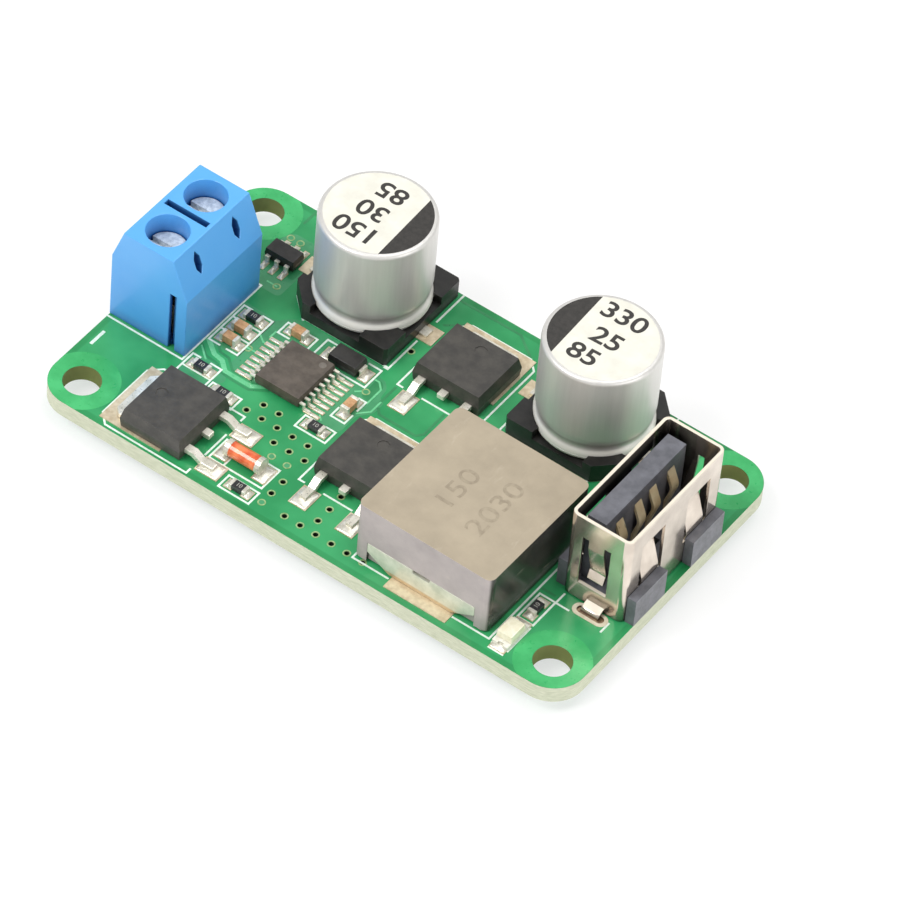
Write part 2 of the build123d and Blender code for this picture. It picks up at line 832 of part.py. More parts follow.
# Lamp: a plate with plated ends under a clear moulded lens
lamp_place = on_board(lamp_x, lamp_y, 90, lift=land_top)
with BuildPart() as lamp_base:
    with BuildSketch(lamp_place):
        Rectangle(lamp_length, lamp_width)
        with Locations((-lamp_length / 2, 0), (lamp_length / 2, 0)):
            Rectangle(lamp_notch_depth * 2, lamp_notch_width, mode=Mode.SUBTRACT)
    extrude(amount=lamp_plate)
save(lamp_base.part, "lamp_base")

with BuildPart() as lamp_lens:
    with BuildSketch(lifted(lamp_place, lamp_plate)):
        Rectangle(lamp_lens_length, lamp_width)
    extrude(amount=lamp_height - lamp_plate, taper=6)
save(lamp_lens.part, "lamp_lens")


def chips(name, places, height):
    """A group of like chips: their bodies in one node and their plated ends in another."""
    core_length = chip_length - 2 * chip_end_length
    with BuildPart() as bodies:
        for x, y, turn in places:
            add(block(on_board(x, y, turn, lift=land_top), core_length, chip_width, 0, height))
    save(bodies.part, f"{name}_bodies")
    with BuildPart() as ends:
        for x, y, turn in places:
            for direction in (-1, 1):
                middle = direction * (core_length + chip_end_length) / 2
                place = on_board(x, y, turn, lift=land_top)
                add(block(place, chip_end_length, chip_width, 0, height + 0.02, x=middle))
    save(ends.part, f"{name}_ends")


chips("chip_resistor", resistor_places, resistor_height)
chips("chip_capacitor", chip_capacitor_places, chip_capacitor_height)


# Socket shell: a folded steel sleeve with sprung fingers, two legs and notches for the feet
socket_place = on_board(socket_x, socket_y)
socket_side_place = on_board(socket_x, socket_y, 90)
shell_half_width = shell_width / 2
shell_half_length = shell_length / 2
with BuildPart() as socket_shell:
    with BuildSketch(lifted(socket_place, shell_foot)):
        RectangleRounded(shell_width, shell_length, shell_corner_radius)
        RectangleRounded(
            shell_width - 2 * shell_wall,
            shell_length - 2 * shell_wall,
            shell_corner_radius - shell_wall,
            mode=Mode.SUBTRACT,
        )
    extrude(amount=shell_top - shell_foot)

    window_height = broad_window_top - broad_window_bottom
    window_middle = board_thickness + (broad_window_top + broad_window_bottom) / 2
    notch_height = foot_neck_height + 2 * running_clearance
    with BuildSketch(Plane.YZ.offset(socket_x)):
        for offset in (-broad_finger_offset, broad_finger_offset):
            with Locations((socket_y + offset, window_middle)):
                Rectangle(broad_window_width, window_height)
        for offset in (-foot_offset, foot_offset):
            with Locations((socket_y + offset, board_thickness + shell_foot + notch_height / 2)):
                Rectangle(foot_neck_width + 2 * running_clearance, notch_height)
    extrude(amount=shell_width, both=True, mode=Mode.SUBTRACT)

    window_height = side_window_top - side_window_bottom
    with BuildSketch(upright(socket_place)):
        with Locations((side_finger_offset, (side_window_top + side_window_bottom) / 2)):
            Rectangle(side_window_width, window_height)
    extrude(amount=shell_length, both=True, mode=Mode.SUBTRACT)

    wall_middle = shell_half_width - shell_wall / 2
    for direction in (-1, 1):
        bow = broad_finger_bow if direction > 0 else broad_finger_bow_behind_tongue
        route = [
            (direction * wall_middle, broad_window_bottom - seat_clearance),
            (direction * wall_middle, broad_window_bottom + 0.9),
            (direction * (wall_middle - bow), broad_window_top - 1.5),
            (direction * (wall_middle - bow + 0.3), broad_window_top - 0.75),
        ]
        for offset in (-broad_finger_offset, broad_finger_offset):
            add(bent_strip(socket_place, route, shell_wall, broad_finger_width, 0.5, offset))

    wall_middle = shell_half_length - shell_wall / 2
    for direction in (-1, 1):
        route = [
            (direction * wall_middle, side_window_top + seat_clearance),
            (direction * wall_middle, side_window_top - 0.9),
            (direction * (wall_middle - side_finger_bow), side_window_bottom + 1.5),
            (direction * (wall_middle - side_finger_bow + 0.35), side_window_bottom + 0.55),
        ]
        add(bent_strip(socket_side_place, route, shell_wall, side_finger_width, 0.5, -side_finger_offset))
        leg_route = [
            (direction * wall_middle, shell_foot + 0.9),
            (direction * wall_middle, shell_foot + 0.45),
            (direction * (wall_middle + shell_leg_jog), shell_foot + 0.1),
            (direction * (wall_middle + shell_leg_jog), -board_thickness - pin_drop),
        ]
        add(bent_strip(socket_side_place, leg_route, shell_wall, shell_leg_width, 0.15, -shell_leg_offset))
save(socket_shell.part, "socket_shell")

# Socket insulator: base, upright tongue and four feet that reach out through the shell's notches
base_width = shell_width - 2 * shell_wall - 2 * seat_clearance
base_length = shell_length - 2 * shell_wall - 2 * seat_clearance
foot_inner = shell_half_width + seat_clearance
with BuildPart() as socket_insulator:
    with BuildSketch(lifted(socket_place, shell_foot)):
        RectangleRounded(base_width, base_length, shell_corner_radius - shell_wall)
    extrude(amount=insulator_base_height - shell_foot)
    with BuildSketch(socket_place):
        with Locations(((tongue_back + tongue_front) / 2 - socket_x, 0)):
            Rectangle(tongue_thickness, tongue_length)
    extrude(amount=tongue_top)
    for direction in (-1, 1):
        for offset in (-foot_offset, foot_offset):
            with BuildSketch(socket_place):
                with Locations((direction * (foot_inner + foot_outer) / 2, offset)):
                    Rectangle(foot_outer - foot_inner, foot_width)
            extrude(amount=foot_height)
            with BuildSketch(lifted(socket_place, shell_foot)):
                with Locations((direction * (base_width / 2 + foot_inner) / 2, offset)):
                    Rectangle(foot_inner - base_width / 2 + 0.4, foot_neck_width)
            extrude(amount=foot_neck_height)
    for pin_x, pin_y in socket_pin_points:
        with BuildSketch(Plane.XY.offset(board_thickness)):
            with Locations((pin_x + 0.5, pin_y)):
                Rectangle(
                    socket_contact_thickness + 1 + 2 * seat_clearance,
                    socket_contact_width + 2 * seat_clearance,
                )
        extrude(amount=socket_contact_tip + 0.1, mode=Mode.SUBTRACT)
save(socket_insulator.part, "socket_insulator")

# Socket contacts: bowed strips in the tongue's grooves, each with its pin through the board
for contact_number, (pin_x, pin_y) in enumerate(socket_pin_points, start=1):
    contact_place = on_board(pin_x, pin_y)
    with BuildPart() as socket_contact:
        add(
            bent_strip(
                contact_place,
                [
                    (0, socket_contact_tip),
                    (socket_contact_bow, socket_contact_tip - 1.7),
                    (0, socket_contact_tip - 4.2),
                    (0, 0.2),
                ],
                socket_contact_thickness,
                socket_contact_width,
                1.2,
            )
        )
        with BuildSketch(lifted(contact_place, 0.2)):
            Rectangle(socket_contact_thickness, socket_pin_width)
        extrude(amount=-(0.2 + board_thickness + pin_drop))
    save(socket_contact.part, f"socket_contact_{contact_number}")


def solder_cone(x, y, pin_x, pin_y):
    """Solder round a pin on the underside, hollow where the pin stands."""
    with BuildPart(mode=Mode.PRIVATE) as cone:
        for along, across, facing, how in (
            (pin_x, pin_y, Plane((x, y, 0), x_dir=(1, 0, 0), z_dir=(0, -1, 0)), Mode.ADD),
            (pin_y, pin_x, Plane((x, y, 0), x_dir=(0, 1, 0), z_dir=(1, 0, 0)), Mode.INTERSECT),
        ):
            with BuildSketch(facing):
                with BuildLine():
                    Polyline(
                        (-along / 2 - solder_cone_flare, 0),
                        (along / 2 + solder_cone_flare, 0),
                        (along / 2 + solder_cone_tip, -solder_cone_height),
                        (-along / 2 - solder_cone_tip, -solder_cone_height),
                        close=True,
                    )
                make_face()
            extrude(amount=across / 2 + solder_cone_flare, both=True, mode=how)
        with BuildSketch(Plane.XY):
            with Locations((x, y)):
                Rectangle(pin_x, pin_y)
        extrude(amount=-solder_cone_height, mode=Mode.SUBTRACT)
    return cone.part


with BuildPart() as pin_solder:
    for pin_x, pin_y in terminal_pin_points:
        add(solder_cone(pin_x, pin_y, contact_thickness, contact_pin_width))
    for pin_x, pin_y in socket_pin_points:
        add(solder_cone(pin_x, pin_y, socket_contact_thickness, socket_pin_width))
    for pin_x, pin_y in shell_leg_points:
        add(solder_cone(pin_x, pin_y, shell_leg_width, shell_wall))
save(pin_solder.part, "pin_solder")
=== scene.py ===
import math

import bmesh
import bpy
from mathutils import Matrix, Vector


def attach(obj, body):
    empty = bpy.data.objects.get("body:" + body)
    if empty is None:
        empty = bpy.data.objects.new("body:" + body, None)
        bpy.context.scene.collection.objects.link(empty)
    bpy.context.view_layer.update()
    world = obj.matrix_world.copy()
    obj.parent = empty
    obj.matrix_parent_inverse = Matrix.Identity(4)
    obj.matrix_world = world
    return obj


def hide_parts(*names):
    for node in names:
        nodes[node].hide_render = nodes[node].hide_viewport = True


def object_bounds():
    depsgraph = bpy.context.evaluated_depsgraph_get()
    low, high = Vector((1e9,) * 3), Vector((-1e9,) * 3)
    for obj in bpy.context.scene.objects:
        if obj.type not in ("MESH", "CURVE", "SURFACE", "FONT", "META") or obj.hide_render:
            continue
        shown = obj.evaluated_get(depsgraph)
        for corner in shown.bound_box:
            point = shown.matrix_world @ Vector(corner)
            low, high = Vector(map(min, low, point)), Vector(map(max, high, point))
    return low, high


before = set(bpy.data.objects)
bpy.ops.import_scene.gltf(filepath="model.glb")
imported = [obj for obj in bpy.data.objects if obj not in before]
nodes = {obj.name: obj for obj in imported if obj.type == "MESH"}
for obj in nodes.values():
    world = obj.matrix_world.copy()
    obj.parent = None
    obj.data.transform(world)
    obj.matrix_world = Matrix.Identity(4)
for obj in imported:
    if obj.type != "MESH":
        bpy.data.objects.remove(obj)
cad_low, cad_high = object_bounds()
scene = bpy.context.scene
MM = 0.001
BODY = "module"

# Sizes in millimetres
BOARD_TOP = 1.6
BOARD_HALF_X = 26.0
BOARD_HALF_Y = 15.0
BOARD_CORNER = 3.0
BOARD_REACH = 2.98
LAND_TOP = 1.68
HOLE_X = 23.15
HOLE_Y = 12.15
TERMINAL_SHADE_TOP = 9.0
INDUCTOR_HEIGHT = 6.15
INDUCTOR_TOP = BOARD_TOP + INDUCTOR_HEIGHT
CAN_TOP = 11.93
CAN_SEAT = 2.73
CAN_RADIUS = 4.925
CAN_RIM_RADIUS = 4.36
BEAD_RADIUS = 4.985
BEAD_FOOT_RADIUS = 4.685
BEAD_HIGHLIGHT_LOW = 3.75
BEAD_HIGHLIGHT_TOP = 3.95
NECK_RADIUS = 4.605
NECK_LEVEL = 4.03
NECK_SHADE = 4.4
NECK_SHADE_REACH = 0.42
SHOULDER_LEVEL = 4.88
PRINT_RADIUS = 4.5


# Colours and materials

def rgb(red, green, blue):
    """Turn a screen colour, 0 to 255, into the linear values that a shader takes."""
    out = []
    for value in (red, green, blue):
        part = value / 255.0
        out.append(part / 12.92 if part <= 0.04045 else ((part + 0.055) / 1.055) ** 2.4)
    return tuple(out) + (1.0,)


OCCLUSION_SHADE_SAMPLES = 12
COAT_ROUGHNESS = 0.12


class Look:
    """A small node material: principled shader, colour that varies, roughness and bump."""

    def __init__(self, name, roughness=0.5, metallic=0.0, coat=0.0, ior=1.5):
        self.material = bpy.data.materials.new(name)
        self.material.use_nodes = True
        self.tree = self.material.node_tree
        self.shader = self.tree.nodes["Principled BSDF"]
        self.shader.inputs["Roughness"].default_value = roughness
        self.shader.inputs["Metallic"].default_value = metallic
        self.shader.inputs["Coat Weight"].default_value = coat
        self.shader.inputs["Coat Roughness"].default_value = COAT_ROUGHNESS
        self.shader.inputs["IOR"].default_value = ior
        self.coords = self.tree.nodes.new("ShaderNodeTexCoord")
        self.geometry = self.tree.nodes.new("ShaderNodeNewGeometry")

    def link(self, source, target):
        self.tree.links.new(source, target)

    def feed(self, value, socket):
        """Link a node's output to a socket, or set the socket to a plain value."""
        if hasattr(value, "is_linked"):
            self.link(value, socket)
        else:
            socket.default_value = value

    def noise(self, size_mm, detail=3.0, rough=0.55, stretch=(1, 1, 1), seed=0.0):
        """Mottling of about one size, stretched where asked."""
        mapping = self.tree.nodes.new("ShaderNodeMapping")
        mapping.inputs["Scale"].default_value = stretch
        mapping.inputs["Location"].default_value = (seed, seed * 0.7, seed * 0.3)
        node = self.tree.nodes.new("ShaderNodeTexNoise")
        node.inputs["Scale"].default_value = 1.0 / (size_mm * MM)
        node.inputs["Detail"].default_value = detail
        node.inputs["Roughness"].default_value = rough
        self.link(self.coords.outputs["Object"], mapping.inputs["Vector"])
        self.link(mapping.outputs["Vector"], node.inputs["Vector"])
        return node.outputs["Fac"]

    def ramp(self, source, low, high, low_colour, high_colour):
        """Turn a value into a colour between two colours."""
        node = self.tree.nodes.new("ShaderNodeValToRGB")
        node.color_ramp.elements[0].position = low
        node.color_ramp.elements[1].position = high
        node.color_ramp.elements[0].color = low_colour
        node.color_ramp.elements[1].color = high_colour
        self.link(source, node.inputs["Fac"])
        return node.outputs["Color"]

    def spread(self, source, from_low, from_high, to_low, to_high):
        """Carry a value from one range into another, and hold it there."""
        node = self.tree.nodes.new("ShaderNodeMapRange")
        node.inputs["From Min"].default_value = from_low
        node.inputs["From Max"].default_value = from_high
        node.inputs["To Min"].default_value = to_low
        node.inputs["To Max"].default_value = to_high
        self.link(source, node.inputs["Value"])
        return node.outputs["Result"]

    def mix(self, factor, first, second):
        """Blend two colours; a factor of 1 gives the second."""
        node = self.tree.nodes.new("ShaderNodeMix")
        node.data_type = "RGBA"
        for value, socket in ((factor, node.inputs[0]), (first, node.inputs[6]), (second, node.inputs[7])):
            self.feed(value, socket)
        return node.outputs[2]

    def math(self, how, first, second=0.0):
        """Reckon with two values, the second of which some operations leave aside."""
        node = self.tree.nodes.new("ShaderNodeMath")
        node.operation = how
        for value, socket in ((first, node.inputs[0]), (second, node.inputs[1])):
            self.feed(value, socket)
        return node.outputs[0]

    def axis(self, which, source="Object"):
        """One axis of the place on the surface, or of the way that it faces."""
        node = self.tree.nodes.new("ShaderNodeSeparateXYZ")
        output = self.geometry.outputs["Normal"] if source == "Normal" else self.coords.outputs["Object"]
        self.link(output, node.inputs[0])
        return node.outputs[which]

    def occlusion_shade(self, reach_mm, low=0.0, high=0.9):
        """Ambient occlusion for painted shade: 0 in narrow recesses, 1 on open faces, whatever the view."""
        node = self.tree.nodes.new("ShaderNodeAmbientOcclusion")
        node.samples = OCCLUSION_SHADE_SAMPLES
        node.inputs["Distance"].default_value = reach_mm * MM
        return self.spread(node.outputs["AO"], low, high, 0.0, 1.0)

    def colour(self, value):
        self.link(value, self.shader.inputs["Base Color"])

    def rough(self, value):
        self.link(value, self.shader.inputs["Roughness"])

    def metal(self, value):
        self.link(value, self.shader.inputs["Metallic"])

    def bump(self, height, strength=0.3, distance_mm=0.02):
        node = self.tree.nodes.new("ShaderNodeBump")
        node.inputs["Strength"].default_value = strength
        node.inputs["Distance"].default_value = distance_mm * MM
        self.link(height, node.inputs["Height"])
        self.link(node.outputs["Normal"], self.shader.inputs["Normal"])


FINE_SHARE = 0.22
FINE_SEED = 3.1


def speckled(name, dark, light, size_mm, roughness, metallic=0.0, bump=0.2, bump_mm=0.01, coat=0.0):
    """A surface with a little colour change between two colours, a fine bump and uneven gloss."""
    look = Look(name, roughness, metallic, coat)
    broad = look.noise(size_mm, 4.0, 0.6)
    fine = look.noise(size_mm * FINE_SHARE, 3.0, 0.6, seed=FINE_SEED)
    look.colour(look.ramp(broad, 0.36, 0.66, dark, light))
    look.rough(look.spread(fine, 0.3, 0.7, max(roughness - 0.07, 0.03), roughness + 0.08))
    look.bump(fine, bump, bump_mm)
    return look


def paint(look, *names):
    """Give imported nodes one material."""
    for name in names:
        materials = nodes[name].data.materials
        materials.clear()
        materials.append(look.material)


# Board: solder mask on top, laminate at its edges and in its holes
board = Look("solder_mask", 0.32, 0.0, 0.06, 1.42)
facing_up = board.axis(2, "Normal")
from_middle_x = board.math("ABSOLUTE", board.axis(0))
from_middle_y = board.math("ABSOLUTE", board.axis(1))
edge_x = board.math("SUBTRACT", from_middle_x, BOARD_HALF_X * MM)
edge_y = board.math("SUBTRACT", from_middle_y, BOARD_HALF_Y * MM)
edge = board.math("MAXIMUM", edge_x, edge_y)
margin = board.spread(edge, -0.62 * MM, -0.5 * MM, 0.0, 1.0)
cloud = board.noise(6.0, 3.0)
weave = board.noise(0.35, 2.0)
pour = board.ramp(cloud, 0.35, 0.65, rgb(36, 140, 82), rgb(60, 164, 102))
rim = board.ramp(cloud, 0.35, 0.65, rgb(28, 128, 70), rgb(50, 150, 90))
mask = board.mix(margin, pour, rim)
fibre = board.noise(0.16, 3.0, 0.6, (0.25, 0.25, 2.2))
laminate = board.ramp(fibre, 0.3, 0.7, rgb(176, 182, 156), rgb(208, 210, 188))
from_hole_x = board.math("SUBTRACT", from_middle_x, HOLE_X * MM)
from_hole_y = board.math("SUBTRACT", from_middle_y, HOLE_Y * MM)
square_x = board.math("MULTIPLY", from_hole_x, from_hole_x)
square_y = board.math("MULTIPLY", from_hole_y, from_hole_y)
from_hole = board.math("SQRT", board.math("ADD", square_x, square_y))
inside = board.spread(from_hole, 1.8 * MM, 2.0 * MM, 1.0, 0.0)
laminate = board.mix(inside, laminate, rgb(124, 132, 76))
flat = board.spread(board.math("ABSOLUTE", facing_up), 0.6, 0.8, 0.0, 1.0)
board.colour(board.mix(flat, laminate, mask))
board.rough(board.spread(flat, 0.0, 1.0, 0.75, 0.3))
board.bump(weave, 0.12, 0.01)
paint(board, "circuit_board")

# Metals
tin = speckled("tin_plate", rgb(208, 204, 188), rgb(240, 236, 224), 0.9, 0.32, 0.6, 0.25, 0.01)
solder = speckled("solder", rgb(198, 194, 180), rgb(238, 235, 224), 0.5, 0.34, 0.5, 0.25, 0.01)
land_gold = speckled("land", rgb(196, 178, 146), rgb(226, 212, 184), 0.7, 0.38, 0.4, 0.3, 0.01)
pale_tin = speckled("pale_tin", rgb(206, 194, 168), rgb(232, 224, 202), 0.7, 0.5, 0.2, 0.3, 0.01)
strap = Look("strap_tin", 0.4, 0.35)
strap_cloud = strap.noise(1.4, 4.0, 0.6)
strap_height = strap.spread(strap.axis(2), 2.0 * MM, 2.15 * MM, 0.0, 1.0)
strap_foot = strap.ramp(strap_cloud, 0.35, 0.65, rgb(176, 150, 112), rgb(206, 184, 148))
strap_wall = strap.ramp(strap_cloud, 0.35, 0.65, rgb(186, 190, 172), rgb(216, 216, 200))
strap.colour(strap.mix(strap_height, strap_foot, strap_wall))
strap.bump(strap.noise(0.2, 3.0), 0.2, 0.01)
paint(tin, "input_capacitor_tabs", "output_capacitor_tabs", "controller_leads", "sensor_leads")
paint(tin, "flat_diode_leads", "glass_diode_caps", "terminal_contact_1", "terminal_contact_2")
for number in (1, 2, 3):
    paint(tin, f"transistor_{number}_leads", f"transistor_{number}_tab")
paint(strap, "inductor_straps")
paint(land_gold, "tinned_lands")
paint(solder, "pin_solder", "chip_resistor_ends", "chip_capacitor_ends")

# Terminal: blue housing, with painted shade low down and in its recesses
blue = Look("terminal_blue", 0.34, 0.0, 0.12)
# Painted shade: the blue is darker towards the board, up to TERMINAL_SHADE_TOP
shade = blue.spread(blue.axis(2), BOARD_TOP * MM, TERMINAL_SHADE_TOP * MM, 0.0, 1.0)
grain = blue.noise(0.25, 3.0)
cloud = blue.noise(3.0, 2.0)
body_colour = blue.mix(shade, rgb(68, 152, 228), rgb(84, 164, 230))
body_colour = blue.mix(blue.spread(cloud, 0.3, 0.7, 0.0, 0.25), body_colour, rgb(104, 178, 236))
# Painted shade: the housing's recesses darken to deep navy
painted_recess_shade = blue.occlusion_shade(1.8, 0.2, 0.9)
blue.colour(blue.mix(painted_recess_shade, rgb(22, 66, 132), body_colour))
blue.rough(blue.spread(grain, 0.3, 0.7, 0.28, 0.42))
blue.bump(grain, 0.12, 0.012)
paint(blue, "terminal_housing", "terminal_floor")
screw_steel = speckled("screw_steel", rgb(196, 200, 202), rgb(246, 248, 246), 0.4, 0.34, 0.45, 0.35, 0.012)
clamp_steel = speckled("clamp_steel", rgb(150, 146, 132), rgb(214, 208, 190), 0.6, 0.3, 0.9, 0.3, 0.01)
for number in (1, 2):
    paint(screw_steel, f"terminal_screw_{number}")
    paint(clamp_steel, f"terminal_clamp_{number}")

# Capacitors: brushed cans with painted shade at the neck and a painted highlight on the bead, on black bases
can = Look("can_aluminium", 0.42, 0.5)
streak = can.noise(0.5, 4.0, 0.6, (1, 1, 0.06))
fine = can.noise(0.12, 3.0)
can_height = can.axis(2)
can_side = can.ramp(streak, 0.2, 0.8, rgb(206, 204, 200), rgb(218, 216, 212))
# Painted shade: a dark band round the neck
from_neck = can.math("ABSOLUTE", can.math("SUBTRACT", can_height, NECK_SHADE * MM))
neck_painted_shade = can.spread(from_neck, 0.0, NECK_SHADE_REACH * MM, 0.55, 0.0)
# Painted highlight: the bead is near white and less metallic
bead_painted_highlight = can.spread(can_height, BEAD_HIGHLIGHT_LOW * MM, BEAD_HIGHLIGHT_TOP * MM, 1.0, 0.0)
can.colour(can.mix(bead_painted_highlight, can.mix(neck_painted_shade, can_side, rgb(96, 97, 90)), rgb(228, 227, 219)))
can.metal(can.spread(bead_painted_highlight, 0.0, 1.0, 0.5, 0.2))
can.rough(can.spread(fine, 0.3, 0.7, 0.36, 0.46))
can.bump(fine, 0.1, 0.006)
base_black = speckled("base_black", rgb(24, 24, 24), rgb(38, 37, 35), 0.8, 0.36, 0.0, 0.3, 0.012)
for name in ("input", "output"):
    paint(can, f"{name}_capacitor_can")
    paint(base_black, f"{name}_capacitor_base")

# Inductor: tan top, pale long side, dark polished end, and a painted highlight on its upward rounded edges
tan = Look("inductor_tan", 0.5)
facing_x = tan.axis(0, "Normal")
facing_up = tan.axis(2, "Normal")
cloud = tan.noise(4.0, 5.0, 0.65)
pits = tan.noise(0.16, 4.0, 0.7)
scuff = tan.noise(1.1, 5.0, 0.7, (1.0, 0.25, 1.0), 5.0)
top_colour = tan.ramp(cloud, 0.3, 0.72, rgb(156, 144, 124), rgb(174, 161, 139))
side_colour = tan.ramp(cloud, 0.35, 0.68, rgb(156, 148, 146), rgb(178, 169, 166))
end_colour = tan.ramp(cloud, 0.35, 0.68, rgb(36, 36, 33), rgb(64, 62, 57))
is_end = tan.spread(facing_x, 0.6, 0.85, 0.0, 1.0)
is_top = tan.spread(facing_up, 0.5, 0.8, 0.0, 1.0)
whole = tan.mix(is_top, tan.mix(is_end, side_colour, end_colour), top_colour)
whole = tan.mix(tan.spread(scuff, 0.62, 0.78, 0.0, 0.35), whole, rgb(206, 196, 178))
# Painted highlight: the eased edges that tilt upwards, between the sides and the top, are lighter
above_side = tan.spread(facing_up, 0.2, 0.4, 0.0, 1.0)
below_top = tan.spread(facing_up, 0.9, 0.98, 1.0, 0.0)
painted_edge_highlight = tan.math("MULTIPLY", tan.math("MULTIPLY", above_side, below_top), 0.55)
whole = tan.mix(painted_edge_highlight, whole, rgb(208, 198, 182))
tan.colour(whole)
tan.rough(tan.spread(is_end, 0.0, 1.0, 0.52, 0.22))
tan.bump(pits, 0.35, 0.02)
paint(tan, "inductor_body")

# Chips, diodes and the lamp
package = speckled("package_grey", rgb(54, 52, 49), rgb(72, 69, 64), 1.2, 0.46, 0.0, 0.4, 0.012)
package_brown = speckled("package_brown", rgb(74, 66, 58), rgb(94, 85, 76), 1.0, 0.5, 0.0, 0.4, 0.012)
package_mark = speckled("package_mark", rgb(98, 92, 84), rgb(116, 109, 100), 0.5, 0.35, 0.0, 0.2, 0.008)
package_black = speckled("package_black", rgb(28, 27, 26), rgb(46, 44, 42), 0.8, 0.4, 0.0, 0.3, 0.012)
for number in (1, 2, 3):
    paint(package, f"transistor_{number}_body")
paint(package_brown, "controller_body")
paint(package_black, "sensor_body", "flat_diode_body")
ceramic_black = speckled("resistor_black", rgb(26, 26, 28), rgb(44, 44, 46), 0.5, 0.28, 0.0, 0.15, 0.008, 0.2)
ceramic_brown = speckled("capacitor_brown", rgb(176, 130, 88), rgb(206, 164, 120), 0.4, 0.42, 0.0, 0.2, 0.008)
paint(ceramic_black, "chip_resistor_bodies")
paint(ceramic_brown, "chip_capacitor_bodies")
lamp_white = speckled("lamp_white", rgb(206, 204, 188), rgb(234, 232, 220), 0.6, 0.45, 0.0, 0.2, 0.01)
lamp_cream = speckled("lamp_cream", rgb(226, 220, 190), rgb(240, 236, 214), 0.6, 0.2, 0.0, 0.1, 0.006, 0.4)
paint(lamp_white, "lamp_base")
paint(lamp_cream, "lamp_lens")

# Socket: plated sleeve, with painted shade inside and a painted highlight on its upward rim faces, with a
# grey insulator and gilt contacts
nickel = Look("socket_nickel", 0.2, 0.9)
cloud = nickel.noise(2.2, 4.0, 0.6)
brush = nickel.noise(0.9, 3.0, 0.5, (1, 1, 0.4))
plate = nickel.ramp(cloud, 0.3, 0.7, rgb(192, 180, 168), rgb(222, 211, 198))
# Painted highlight: faces that point up, at the rim, are pale and less metallic
painted_rim_highlight = nickel.spread(nickel.axis(2, "Normal"), 0.8, 0.95, 0.0, 1.0)
# Painted shade: the sleeve darkens inside
plate = nickel.mix(nickel.occlusion_shade(3.2, 0.25, 0.75), rgb(46, 42, 37), plate)
nickel.colour(nickel.mix(painted_rim_highlight, plate, rgb(240, 230, 212)))
nickel.metal(nickel.spread(painted_rim_highlight, 0.0, 1.0, 0.92, 0.25))
nickel.rough(nickel.spread(brush, 0.3, 0.7, 0.15, 0.21))
nickel.bump(cloud, 0.12, 0.05)
paint(nickel, "socket_shell")
socket_black = speckled("socket_black", rgb(84, 85, 91), rgb(106, 107, 114), 1.2, 0.36, 0.0, 0.2, 0.01)
paint(socket_black, "socket_insulator")
contact_gold = speckled("contact_gold", rgb(218, 194, 150), rgb(238, 222, 184), 1.6, 0.34, 0.4, 0.04, 0.004)
for number in (1, 2, 3, 4):
    paint(contact_gold, f"socket_contact_{number}")


WELD_REACH = 1e-6
EASE_SEGMENTS = 2
EASE_ANGLE = 35


def soften(name, width):
    """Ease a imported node's sharp edges a little, as moulds and dies leave them."""
    piece = nodes[name]
    weld = piece.modifiers.new("weld", "WELD")
    weld.merge_threshold = WELD_REACH
    bevel = piece.modifiers.new("ease", "BEVEL")
    bevel.width = width * MM
    bevel.segments = EASE_SEGMENTS
    bevel.limit_method = "ANGLE"
    bevel.angle_limit = math.radians(EASE_ANGLE)
    bevel.use_clamp_overlap = True


# Nodes by the width of their eased edges, in millimetres
transistor_parts = ()
for number in (1, 2, 3):
    transistor_parts += tuple(f"transistor_{number}_{part}" for part in ("body", "leads", "tab"))
capacitor_tabs = ("input_capacitor_tabs", "output_capacitor_tabs")
eased = {
    0.04: ("socket_shell", "lamp_base", "chip_resistor_ends") + capacitor_tabs,
    0.05: ("controller_body", "chip_capacitor_bodies", "chip_capacitor_ends"),
    0.06: ("sensor_body", "flat_diode_body", "inductor_straps") + transistor_parts,
    0.07: ("socket_insulator", "terminal_housing"),
    0.08: ("input_capacitor_base", "output_capacitor_base", "lamp_lens"),
    0.14: ("inductor_body",),
}
for width, names in eased.items():
    for name in names:
        soften(name, width)

# Looks of the new pieces, and of the glass diode
silk = speckled("silkscreen_white", rgb(214, 232, 218), rgb(240, 248, 240), 0.3, 0.55, 0.0, 0.3, 0.008)
ink = speckled("print_black", rgb(40, 38, 35), rgb(54, 51, 48), 0.4, 0.5, 0.0, 0.2, 0.006)
cream = speckled("can_print_cream", rgb(216, 214, 202), rgb(228, 226, 214), 1.5, 0.5, 0.0, 0.1, 0.006)
dark_mask = speckled("mask_dark", rgb(36, 122, 74), rgb(52, 142, 88), 2.5, 0.34, 0.0, 0.1, 0.006, 0.1)
mid_mask = speckled("mask_mid", rgb(56, 140, 92), rgb(72, 156, 106), 2.5, 0.34, 0.0, 0.1, 0.006, 0.1)
light_mask = speckled("mask_light", rgb(92, 186, 128), rgb(118, 206, 150), 1.5, 0.3, 0.0, 0.1, 0.006, 0.15)
ring_mask = speckled("mask_ring", rgb(44, 160, 88), rgb(66, 182, 108), 2.5, 0.32, 0.0, 0.1, 0.006, 0.15)
via_gold = speckled("via_ring", rgb(118, 158, 98), rgb(168, 196, 140), 0.3, 0.38, 0.15, 0.2, 0.006)
via_dark = speckled("via_barrel", rgb(14, 24, 16), rgb(30, 42, 28), 0.3, 0.6, 0.0, 0.1, 0.006)
glass = Look("diode_glass", 0.1, 0.0, 0.5)
along = glass.spread(glass.noise(0.9, 3.0, 0.5), 0.35, 0.65, 0.0, 1.0)
glass.colour(glass.mix(along, rgb(206, 82, 40), rgb(242, 134, 84)))
paint(glass, "glass_diode_tube")
flux = speckled("slot_flux", rgb(92, 70, 48), rgb(150, 126, 94), 0.4, 0.3, 0.2, 0.3, 0.01)
figure_tan = speckled("figure_tan", rgb(142, 130, 111), rgb(162, 150, 129), 0.5, 0.6, 0.0, 0.2, 0.006)
